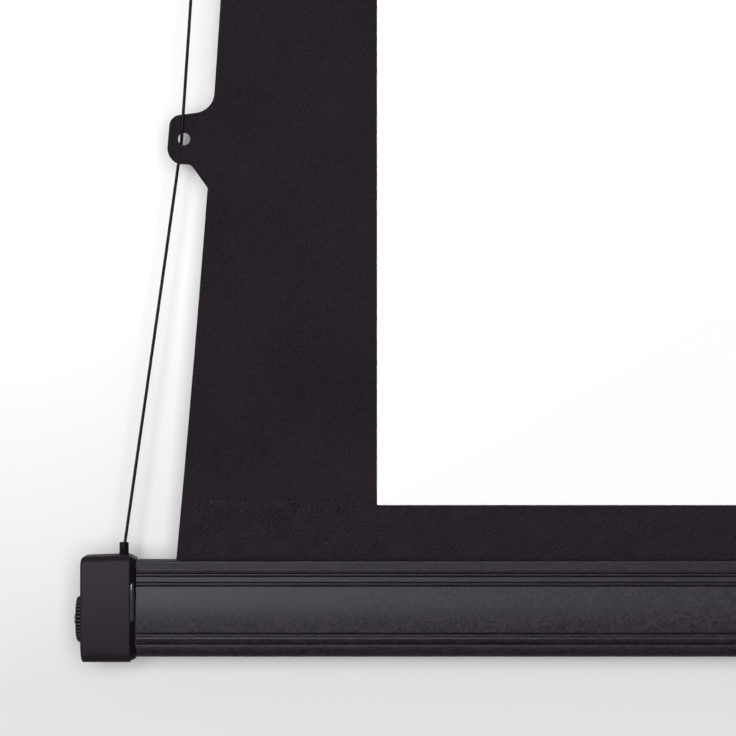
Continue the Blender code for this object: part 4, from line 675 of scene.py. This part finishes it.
points, faces = film(VIEW_HALF, VIEW_HEIGHT / 2, LAYER_THICKNESS, (0, layer_middle, view_middle))
view_layer = add_piece("viewing_surface_film", points, faces, white_cloth, "case", ("viewing_surface",),
                       30)
# With the bar up, the white surface ends just inside the case, as it does when it is wound in
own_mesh(view_layer)

# The embossed strip that covers the fabric's lower edge, with the hem's loop in the bar
STRIP_TOP = BAR_TOP + 0.0240
STRIP_FOOT = BAR_TOP - 0.0030
STRIP_IN_FROM_EDGE = 0.0050
LOOP_OUTER = 0.0022
LOOP_INNER = 0.0019
NOTCH_LOW = BAR_TOP + 0.0217
NOTCH_HALF = VIEW_HALF + FIT
HEM_CENTRE = BAR_TOP - 0.00481


def strip_half(z):
    """Half the strip's width at a height: it keeps its distance from the fabric's edge."""
    return edge_half_width(z - BAR_TOP) - STRIP_IN_FROM_EDGE


strip_outline = [(-strip_half(BAR_TOP), STRIP_FOOT), (-strip_half(STRIP_TOP), STRIP_TOP),
                 (-NOTCH_HALF, STRIP_TOP), (-NOTCH_HALF, NOTCH_LOW), (NOTCH_HALF, NOTCH_LOW),
                 (NOTCH_HALF, STRIP_TOP), (strip_half(STRIP_TOP), STRIP_TOP),
                 (strip_half(BAR_TOP), STRIP_FOOT)]
flat_points, flat_faces = cut_sheet(strip_outline, [], layer_back - LAYER_THICKNESS, layer_back)
loop_angles = 2 * pi * np.arange(33) / 32
loop_profile = np.concatenate([
    np.stack([SHEET_Y + way * radius * np.sin(loop_angles),
              HEM_CENTRE + radius * np.cos(loop_angles)], axis=-1)
    for way, radius in ((1, LOOP_OUTER), (-1, LOOP_INNER))])
loop_points, loop_faces = along_x(loop_profile, (-strip_half(BAR_TOP), strip_half(BAR_TOP)))
hem_loop = add_piece("bottom_strip_hem_loop", loop_points, loop_faces, strip_cloth_and_painted_light, "bottom_bar",
                     sharp=30)
strip = add_piece("bottom_strip_cloth", flat_points, flat_faces, strip_cloth_and_painted_light, "bottom_bar", ("bottom_strip",),
                  30)
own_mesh(strip)


ROLL_TURNS = 1.96


def spiral_profile(turns, inner, outer, thickness, count=64):
    """A cloth wound on itself: out along a spiral and back along it, one thickness further in."""
    angle = np.linspace(0, 2 * pi * turns, int(count * turns) + 1)
    out = inner + thickness + (outer - inner - thickness) * angle / angle[-1]
    ring = [np.stack([ROLLER_Y + radius * np.cos(angle), radius * np.sin(angle)], axis=-1)
            for radius in (out, out - thickness)]
    return np.vstack([ring[0], ring[1][::-1]])


points, faces = along_x(spiral_profile(ROLL_TURNS, TUBE_RADIUS + FIT, ROLL_RADIUS, SHEET_THICKNESS),
                        (-EDGE_CORNER, EDGE_CORNER))
add_piece("fabric_roll_cloth", points, faces, border_cloth, "roller", ("fabric_roll",))


# Bottom bar


def banded_side(bands, foot_in, half=BAR_DEPTH / 2, edge=0.0008):
    """Down one side of the bar: bands parted by V grooves, then a foot that is a quarter of an ellipse.

    Each band (top, low, back, lean, bow, lip) is set back, leans in, bows out by a half sine, ends in a lip.
    """
    corners = [(half - edge, 0, 0), (half, 0, edge * 0.7)]
    for number, (top, low, back, lean, bow, lip) in enumerate(bands):
        if number and top - bands[number - 1][1] > 0.0001:
            corners.append((half - GROOVE_DEPTH, -(bands[number - 1][1] + top) / 2, 0.00005))
        corners.append((half - back, -top, 0.0001 if number else 0))
        if bow:
            corners += [(half - back + bow * sin(pi * k / 24), -top - (low - top) * k / 24, 0)
                        for k in range(1, 24)]
        if lip:
            corners.append((half - back - lean, -low + 0.0008, 0.0003))
        corners.append((half - back - (0 if lip else lean) + lip, -low, 0.0001))
    low = bands[-1][1]
    corners += [(half - foot_in * (1 - cos(angle)), -low - (BAR_HEIGHT - low) * sin(angle), 0)
                for angle in np.arange(1, 13) * pi / 24]
    return corners


GROOVE_DEPTH = 0.0014
FRONT_BANDS = [
    (0.0008, 0.00465, 0, 0.00040, 0, 0.00008), (0.00525, 0.00585, 0.00015, 0, 0, 0),
    (0.00645, 0.00830, 0, 0.00004, 0, 0.00010), (0.00890, 0.00955, 0.00015, 0, 0, 0),
    (0.01015, 0.02870, 0, 0, 0.00048, 0), (0.02935, 0.03020, 0, 0.00004, 0, 0),
    (0.03035, 0.03110, 0.0001, 0, 0, 0), (0.03115, 0.03275, 0, 0.0006, 0, 0), (0.03340, 0.03370, 0, 0, 0, 0),
]
BACK_BANDS = [(0.0008, 0.0048, 0, 0, 0, 0), (0.0054, 0.0322, 0, 0, 0, 0), (0.0330, 0.0354, 0, 0, 0, 0)]
FRONT_FOOT_IN = 0.0036
BACK_FOOT_IN = 0.0022
SLOT_ROUND = 0.0002
slot_half, channel_radius, channel_depth = 0.0012, 0.0034, 0.0062
front = [(-depth, z, radius) for depth, z, radius in banded_side(FRONT_BANDS, FRONT_FOOT_IN)]
back = banded_side(BACK_BANDS, BACK_FOOT_IN)
mouth = asin(slot_half / channel_radius)
channel = [(channel_radius * sin(angle), -channel_depth + channel_radius * cos(angle), 0)
           for angle in np.linspace(mouth, 2 * pi - mouth, 37)]
bar_corners = [(-slot_half, 0, SLOT_ROUND), *front, *reversed(back), (slot_half, 0, SLOT_ROUND), *channel]
bar_profile = [(SHEET_Y + y, BAR_TOP + z) for y, z in rounded(bar_corners, 3)]
points, faces = along_x(bar_profile, np.linspace(-BAR_HALF, BAR_HALF, 9))
add_piece("bottom_bar_profile", points, faces, bar_coat, "bottom_bar", ("bottom_bar",), 40)


# Ends of the bottom bar


CAP_FACE = CAP_OUTER + 0.0002
CAP_TOP = CAP_OVERHANG + 0.00022
CAP_CROWN = 0.0008
CAP_TOP_CORNER = 0.0024
CAP_FOOT_CORNER = 0.0036
FLANGE_END = CAP_LENGTH + 0.0002
FLANGE_START = FLANGE_END - 0.0021
FLANGE_WALL = 0.0030
CAP_WALL = 0.0032
POCKET_DEPTH = 0.0020
POCKET_RADIUS = 0.0096
POCKET_RIM = 0.0098
BORE_RADIUS = 0.0043


def split_long(points, pieces=10, longer=0.004):
    """The closed outline with its long straight sides split into even pieces."""
    points = np.asarray(points, float)
    split = []
    for here, ahead in zip(points, np.roll(points, -1, axis=0)):
        count = pieces if np.hypot(*(ahead - here)) > longer else 1
        split.append(here + (ahead - here) * np.arange(count)[:, None] / count)
    return np.vstack(split)


def cap_section(sides_in=0.0, top_in=0.0, low_in=0.0):
    """The cap's (y, z) outline set in at its sides, top and foot, its front and back slightly crowned."""
    half = BAR_DEPTH / 2 + CAP_OVERHANG - sides_in
    low, high = -BAR_HEIGHT - CAP_OVERHANG + low_in, CAP_TOP - top_in
    outline = split_long(rounded([(-half, low, CAP_FOOT_CORNER), (half, low, CAP_FOOT_CORNER),
                                  (half, high, CAP_TOP_CORNER), (-half, high, CAP_TOP_CORNER)], 10))
    share = (outline[:, 1] - (low + high) / 2) / ((high - low) / 2)
    outline[:, 0] *= 1 + CAP_CROWN / half * (1 - share**2)
    return outline


def ellipse_in(x, reach, fall):
    """How far an elliptical edge has fallen in at x from the outer face."""
    return fall * (1 - sqrt(1 - max(0.0, 1 - x / reach) ** 2))


def outer_section(x):
    """The cap's outline at x from its outer face: a broad fall at top and foot, a tight one at the sides.

    The top also slopes: by 0.5 mm at the face, and by the power 1.3 of what is left of 16 mm.
    """
    slope = 0.0005 * max(0.0, 1 - x / 0.0160) ** 1.3
    return cap_section(ellipse_in(x, 0.0008, 0.0008), ellipse_in(x, 0.0020, 0.0022) + slope,
                       ellipse_in(x, 0.0011, 0.0036))


def inset_section(inset):
    """The cap's outline set in by the same amount all round."""
    return cap_section(inset, inset, inset)


def cap_place(rings, side):
    """Rings of (distance in from the outer face, outline) as points in the model, closed on themselves."""
    rings = rings + rings[:1]
    return [[(side * (CAP_FACE - x), SHEET_Y + y, BAR_TOP + z) for y, z in ring] for x, ring in rings]


def cap_shell_rings(side):
    """Out of the hub's bore, over the knob's pocket and the face, along the cap and back inside its walls."""
    first = outer_section(0)
    centre = np.array([0, KNOB_Z - BAR_TOP])
    aim = first - centre
    angle = np.arctan2(aim[:, 1], aim[:, 0])
    spokes = np.stack([np.cos(angle), np.sin(angle)], axis=-1)
    pocket, hub = centre + POCKET_RADIUS * spokes, centre + BORE_RADIUS * spokes
    rings = [(CAP_WALL, hub), (POCKET_DEPTH, hub), (POCKET_DEPTH, pocket), (0.0002, pocket),
             (0, centre + POCKET_RIM * spokes)]
    rings += [(x, outer_section(x)) for x in 0.0020 * (1 - np.cos(np.arange(15) * pi / 28))]
    rings += [(x, outer_section(x)) for x in np.linspace(0.0030, FLANGE_START - 0.0008, 8)]
    rings += [(FLANGE_START - 0.0003 + 0.0003 * sin(a), inset_section(0.0004 * (1 - cos(a))))
              for a in np.linspace(0, pi / 2, 6)]
    rings += [(FLANGE_START, inset_section(CAP_WALL)), (CAP_WALL, inset_section(CAP_WALL))]
    return cap_place(rings, side)


def cap_flange_rings(side):
    """The dark glossy collar between the cap and the bar: a chamfer down to the bar, closed inside. Its
    darker plastic is painted shade on top of the real shade of a chamfer that faces away from the light.
    """
    rings = [(FLANGE_START, inset_section(FLANGE_WALL)), (FLANGE_START, inset_section(0.0004)),
             (FLANGE_START + 0.0001, inset_section(0.00045)), (FLANGE_END - 0.0003, inset_section(0.0012)),
             (FLANGE_END, inset_section(0.0015)), (FLANGE_END, inset_section(FLANGE_WALL))]
    return cap_place(rings, side)


def chamfer_rib(side):
    """A glossy rib upright on the cap's front chamfer, oval in section: round ends, and a taper to its top.

    Within taper of its top its radius falls by the square of the height times steep / (2 taper).
    """
    length, radius, taper, steep = 0.0153, 0.00105, 0.0034, 0.16
    foot_round, head_round, squeeze = 0.0006, 0.0005, 0.5
    top, low = length / 2, -length / 2
    angle = np.linspace(0, pi / 2, 7)[::-1]
    foot = np.stack([low + foot_round * (1 - np.sin(angle[::-1])),
                     radius - foot_round * (1 - np.cos(angle[::-1]))], axis=-1)
    rise = np.linspace(0, taper, 9)
    tapered = np.stack([top - head_round - taper + rise, radius - steep * rise**2 / (2 * taper)], axis=-1)
    end = radius - steep * taper / 2
    head = np.stack([top - head_round + head_round * np.cos(angle[:-1]),
                     end - head_round * (1 - np.sin(angle[:-1]))], axis=-1)
    profile = np.vstack([foot[::-1], tapered, head])
    at = (side * (CAP_FACE - FLANGE_END + 0.0014), SHEET_Y - BAR_DEPTH / 2 - 0.0021, BAR_TOP - 0.0164)
    points, faces = turned(profile, "z", at, 28)
    points[:, 1] = at[1] + squeeze * (points[:, 1] - at[1])
    return points, faces


KNOB_RIBS = 38
KNOB_RADIUS = 0.0093
KNOB_RIB_DEPTH = 0.0011
KNOB_PLAIN_TONE = 0.55
NIPPLE_STEM = 0.00165
NIPPLE_COLLAR = 0.0021
NIPPLE_LIP_ROUND = 0.0004


def knob_rings(side):
    """Rings of a ribbed knob: its radius swings with a rounded rib's wave, then a low dome with a recess."""
    angle = 2 * pi * np.arange(KNOB_RIBS * 10) / (KNOB_RIBS * 10)
    wave = 0.5 - 0.5 * np.abs(np.cos(KNOB_RIBS / 2 * angle)) ** 0.8
    rows = [(0.0017, 0, 1), (-0.0010, 0, 1), (-0.0015, 0.0002, 0.95), (-0.0019, 0.0005, 0.8),
            (-0.0022, 0.0010, 0.5), (-0.0023, 0.0016, 0.2), (-0.0024, 0.0022, 0), (-0.0025, 0.0036, 0),
            (-0.0026, 0.0052, 0), (-0.0026, 0.0064, 0), (-0.0025, 0.0067, 0), (-0.0020, 0.0068, 0),
            (-0.0020, 0.0079, 0), (-0.0006, 0.0079, 0)]
    rings, uv = [], []
    for x, inset, ribbed in rows:
        radius = KNOB_RADIUS - inset - KNOB_RIB_DEPTH * ribbed * wave
        rings.append(np.stack([0 * angle + side * (CAP_OUTER - x), SHEET_Y + radius * np.cos(angle),
                               KNOB_Z + radius * np.sin(angle)], axis=-1))
        # Painted light: U is 0 on a rib's crest, painted light, and 1 between ribs, painted shade; the plain
        # dome keeps a mid value that stays near black.
        tone = KNOB_PLAIN_TONE + ribbed * (2 * wave - KNOB_PLAIN_TONE)
        uv.append(np.stack([tone, 0 * angle - x], axis=-1))
    return rings, np.vstack(uv)


def nipple_profile():
    """Flange, stem, rounded lip and flared bore, from below the cap's wall to the mouth and back down."""
    seat, top = CAP_OVERHANG + FIT, CAP_OVERHANG + NIPPLE_HEIGHT + NIPPLE_LIP
    lip_low, foot = top - NIPPLE_LIP_ROUND, CAP_OVERHANG - CAP_WALL
    outside = [(foot, NIPPLE_STEM), (seat, NIPPLE_STEM), (seat, 0.0020), (seat + 0.0001, NIPPLE_COLLAR),
               (seat + 0.0004, NIPPLE_COLLAR), (seat + 0.00055, 0.0020), (seat + 0.0007, 0.00190),
               (lip_low, 0.00186)]
    lip = [(lip_low + NIPPLE_LIP_ROUND * sin(a), 0.00146 + NIPPLE_LIP_ROUND * cos(a))
           for a in np.linspace(0.2, pi / 2, 6)]
    bore = [(lip_low, 0.00120), (CORD_BEND, 0.00100), (foot, 0.00120)]
    return outside + lip + bore


for word, side in SIDES.items():
    points, faces = ring_stack(cap_shell_rings(side), close_first=False, close_last=False)
    add_piece("bar_end_cap_shell_" + word, points, faces, cap_plastic, "bottom_bar",
              ("bar_end_cap_" + word,), 25)
    points, faces = ring_stack(cap_flange_rings(side), close_first=False, close_last=False)
    add_piece("bar_end_cap_flange_" + word, points, faces, dark_plastic_and_collar_shade, "bottom_bar",
              sharp=25)
    points, faces = chamfer_rib(side)
    add_piece("bar_end_cap_rib_" + word, points, faces, glossy_plastic, "bottom_bar")
    rings, uv = knob_rings(side)
    points, faces = ring_stack(rings)
    add_piece("tension_knob_ribbed_" + word, points, faces, knob_plastic_and_painted_rib_light, "tension_knob_" + word,
              ("tension_knob_" + word,), 50, uv)
    profile = nipple_profile()
    points, faces = turned(profile + profile[:1], "z", (side * CORD_HALF_SPAN, SHEET_Y, BAR_TOP), 40, False)
    add_piece("cord_nipple_turned_" + word, points, faces, dark_plastic_and_collar_shade, "bottom_bar",
              ("cord_nipple_" + word,), 40)


# Finishes of the solids, by the record's slot


FINISHES = {
    "black_aluminium": case_coat, "black_steel": case_coat, "black_plastic": cap_plastic,
    "grey_plastic": grey_plastic, "black_fabric": border_cloth, "white_fabric": white_cloth,
    "black_cord": cord_fibre, "bright_steel": zinc_steel, "spring_steel": spring_steel,
    "bare_aluminium": tube_aluminium, "bronze": bush_bronze,
}
for part in frame["record"]["subparts"]:
    solid = frame["nodes"][part["node"]]
    solid.data.materials.clear()
    solid.data.materials.append(FINISHES[part["material_slot"]])


# The case's outside, its brackets and screws: the solids' own shapes with softened edges


SOFT_EDGES = {"case_shell": 0.0004, "case_end_cap_": 0.0008, "wall_bracket_": 0.0004,
              "bracket_screw_": 0.0002, "case_screw_": 0.0002, "cable_gland": 0.0004, "motor_head": 0.0004}
SOFT_ANGLE = 32
FLAT_ANGLE = 0.5


def softened(part, width):
    """Replaces a solid by a copy with its coplanar triangles joined and its edges rounded by a bevel."""
    solid = frame["nodes"][part["node"]]
    mesh = solid.data.copy()
    mesh.name = part["node"] + "_soft"
    mesh.transform(solid.matrix_world)
    if part["node"].startswith("case_end_cap_"):
        mesh.materials[0] = matt_plastic
    bm = bmesh.new()
    bm.from_mesh(mesh)
    bmesh.ops.remove_doubles(bm, verts=bm.verts, dist=1e-6)
    bmesh.ops.dissolve_limit(bm, angle_limit=radians(FLAT_ANGLE), verts=bm.verts, edges=bm.edges)
    bm.to_mesh(mesh)
    bm.free()
    mesh.shade_smooth()
    mesh.set_sharp_from_angle(angle=radians(SOFT_ANGLE))
    piece = bpy.data.objects.new(mesh.name, mesh)
    scene.collection.objects.link(piece)
    edges = piece.modifiers.new("edges", "BEVEL")
    edges.width = width
    edges.segments = 2
    edges.limit_method = "ANGLE"
    edges.angle_limit = radians(SOFT_ANGLE)
    edges.harden_normals = True
    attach(piece, "case")
    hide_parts(part["node"])


for part in frame["record"]["subparts"]:
    for title, width in SOFT_EDGES.items():
        if part["node"].startswith(title):
            softened(part, width)


# Wall and floor


def stage_material(name, tones, bounce, glow):
    """A pale surface whose grey follows (height, tone) pairs, clear from behind, with a glow where seen."""
    made = bpy.data.materials.new(name)
    made.use_nodes = True
    tree = made.node_tree
    shader = tree.nodes["Principled BSDF"]
    shader.inputs["Roughness"].default_value = 0.9
    shader.inputs["Specular IOR Level"].default_value = 0.0
    place = node(tree, "TexCoord")
    apart = node(tree, "SeparateXYZ")
    link(tree, place.outputs["Object"], apart.inputs["Vector"])
    lowest, highest = tones[0][0], tones[-1][0]
    height = node(tree, "MapRange", From_Min=lowest, From_Max=highest)
    link(tree, apart.outputs["Z"], height.inputs["Value"])
    colours = node(tree, "ValToRGB")
    stops = colours.color_ramp.elements
    for at, tone in tones[1:-1]:
        stops.new((at - lowest) / (highest - lowest)).color = (tone, tone, tone, 1)
    stops[0].color = (*3 * [tones[0][1]], 1)
    stops[len(tones) - 1].color = (*3 * [tones[-1][1]], 1)
    link(tree, height.outputs["Result"], colours.inputs["Fac"])
    rays = node(tree, "LightPath")
    dimmed = node(tree, "MapRange", From_Min=0.0, From_Max=1.0, To_Min=bounce, To_Max=1.0)
    link(tree, rays.outputs["Is Camera Ray"], dimmed.inputs["Value"])
    shown = node(tree, "VectorMath", operation="SCALE")
    link(tree, colours.outputs["Color"], shown.inputs[0])
    link(tree, dimmed.outputs["Result"], shown.inputs["Scale"])
    link(tree, shown.outputs["Vector"], shader.inputs["Base Color"])
    shader.inputs["Emission Color"].default_value = (1, 1, 1, 1)
    glowing = maths(tree, "MULTIPLY", rays.outputs["Is Camera Ray"], glow)
    link(tree, glowing, shader.inputs["Emission Strength"])
    clear = node(tree, "BsdfTransparent")
    mix = node(tree, "MixShader")
    facing = node(tree, "NewGeometry")
    clearness = maths(tree, "MAXIMUM", facing.outputs["Backfacing"], rays.outputs["Is Shadow Ray"])
    link(tree, clearness, mix.inputs["Fac"])
    link(tree, shader.outputs["BSDF"], mix.inputs[1])
    link(tree, clear.outputs["BSDF"], mix.inputs[2])
    link(tree, mix.outputs["Shader"], tree.nodes["Material Output"].inputs["Surface"])
    return made


WALL_Y = 0.0015
WALL_TOP = 3
FLOOR_Z = -2.40
FLOOR_FRONT = -8
STAGE_REACH = 6
# The wall's grey darkens towards the bottom: painted shade. Its glow where seen is painted light that lifts
# the shadows on it.
WALL_PAINTED_SHADE = [(-1.165, 0.668), (-1.131, 0.715), (-1.091, 0.775), (-1.042, 0.845), (-0.997, 0.92)]
FLOOR_TONES = [(-3.0, 0.35), (-1.0, 0.35)]


def stage_plane(name, corners, material):
    """A flat piece of the stage through four corners."""
    mesh = bpy.data.meshes.new(name)
    mesh.from_pydata(corners, [], [(0, 1, 2, 3)])
    plane = bpy.data.objects.new(name, mesh)
    plane.data.materials.append(material)
    scene.collection.objects.link(plane)


wall_paint_with_painted_shade = stage_material("wall_paint_with_painted_shade", WALL_PAINTED_SHADE, 0.4, 0.09)
floor_paint = stage_material("floor_paint", FLOOR_TONES, 0.3, 0.60)
stage_plane("wall", [(-STAGE_REACH, WALL_Y, FLOOR_Z), (STAGE_REACH, WALL_Y, FLOOR_Z),
                     (STAGE_REACH, WALL_Y, WALL_TOP), (-STAGE_REACH, WALL_Y, WALL_TOP)], wall_paint_with_painted_shade)
stage_plane("floor", [(-STAGE_REACH, FLOOR_FRONT, FLOOR_Z), (STAGE_REACH, FLOOR_FRONT, FLOOR_Z),
                      (STAGE_REACH, STAGE_REACH, FLOOR_Z), (-STAGE_REACH, STAGE_REACH, FLOOR_Z)], floor_paint)


# Light


def lamp(name, at, aim, size, power, glossy=True):
    """A rectangular soft box, which without glossy lights only the matt share of a surface."""
    data = bpy.data.lights.new(name, "AREA")
    data.shape = "RECTANGLE"
    data.size, data.size_y = size
    data.energy = power
    made = bpy.data.objects.new(name, data)
    made.location = at
    made.rotation_euler = (Vector(aim) - Vector(at)).to_track_quat("-Z", "Y").to_euler()
    made.visible_glossy = glossy
    scene.collection.objects.link(made)


lamp("front_soft_box", (-0.75, -4.6, -0.92), (-0.75, 0, -0.98), (2.2, 2.2), 154, glossy=False)
lamp("key_soft_box", (-1.66, -3.6, -0.76), (-0.9, 0, -1.1), (0.5, 0.5), 27)
lamp("upper_right_glint", (0.10, -0.75, 0.45), (-0.98, 0, -1.12), (0.35, 0.35), 3)
lamp("left_glint", (-2.5, -0.75, -1.0), (-1.0, 0, -1.13), (0.2, 1.0), 2.5)
lamp("rear_soft_box", (0.8, 4.4, -1.72), (0.1, 0, -0.6), (1.0, 1.0), 250, glossy=False)

world = bpy.data.worlds.new("studio")
scene.world = world
world.use_nodes = True
sky = world.node_tree
background = sky.nodes["Background"]
direction = node(sky, "TexCoord")
upward = node(sky, "SeparateXYZ")
brightness = node(sky, "MapRange", From_Min=-0.7, From_Max=0.9, To_Min=0.07, To_Max=0.21)
link(sky, direction.outputs["Generated"], upward.inputs["Vector"])
link(sky, upward.outputs["Z"], brightness.inputs["Value"])
seen = node(sky, "LightPath")
level = maths(sky, "MAXIMUM", brightness.outputs["Result"], seen.outputs["Is Camera Ray"])
background.inputs["Color"].default_value = (1, 1, 1, 1)
link(sky, level, background.inputs["Strength"])
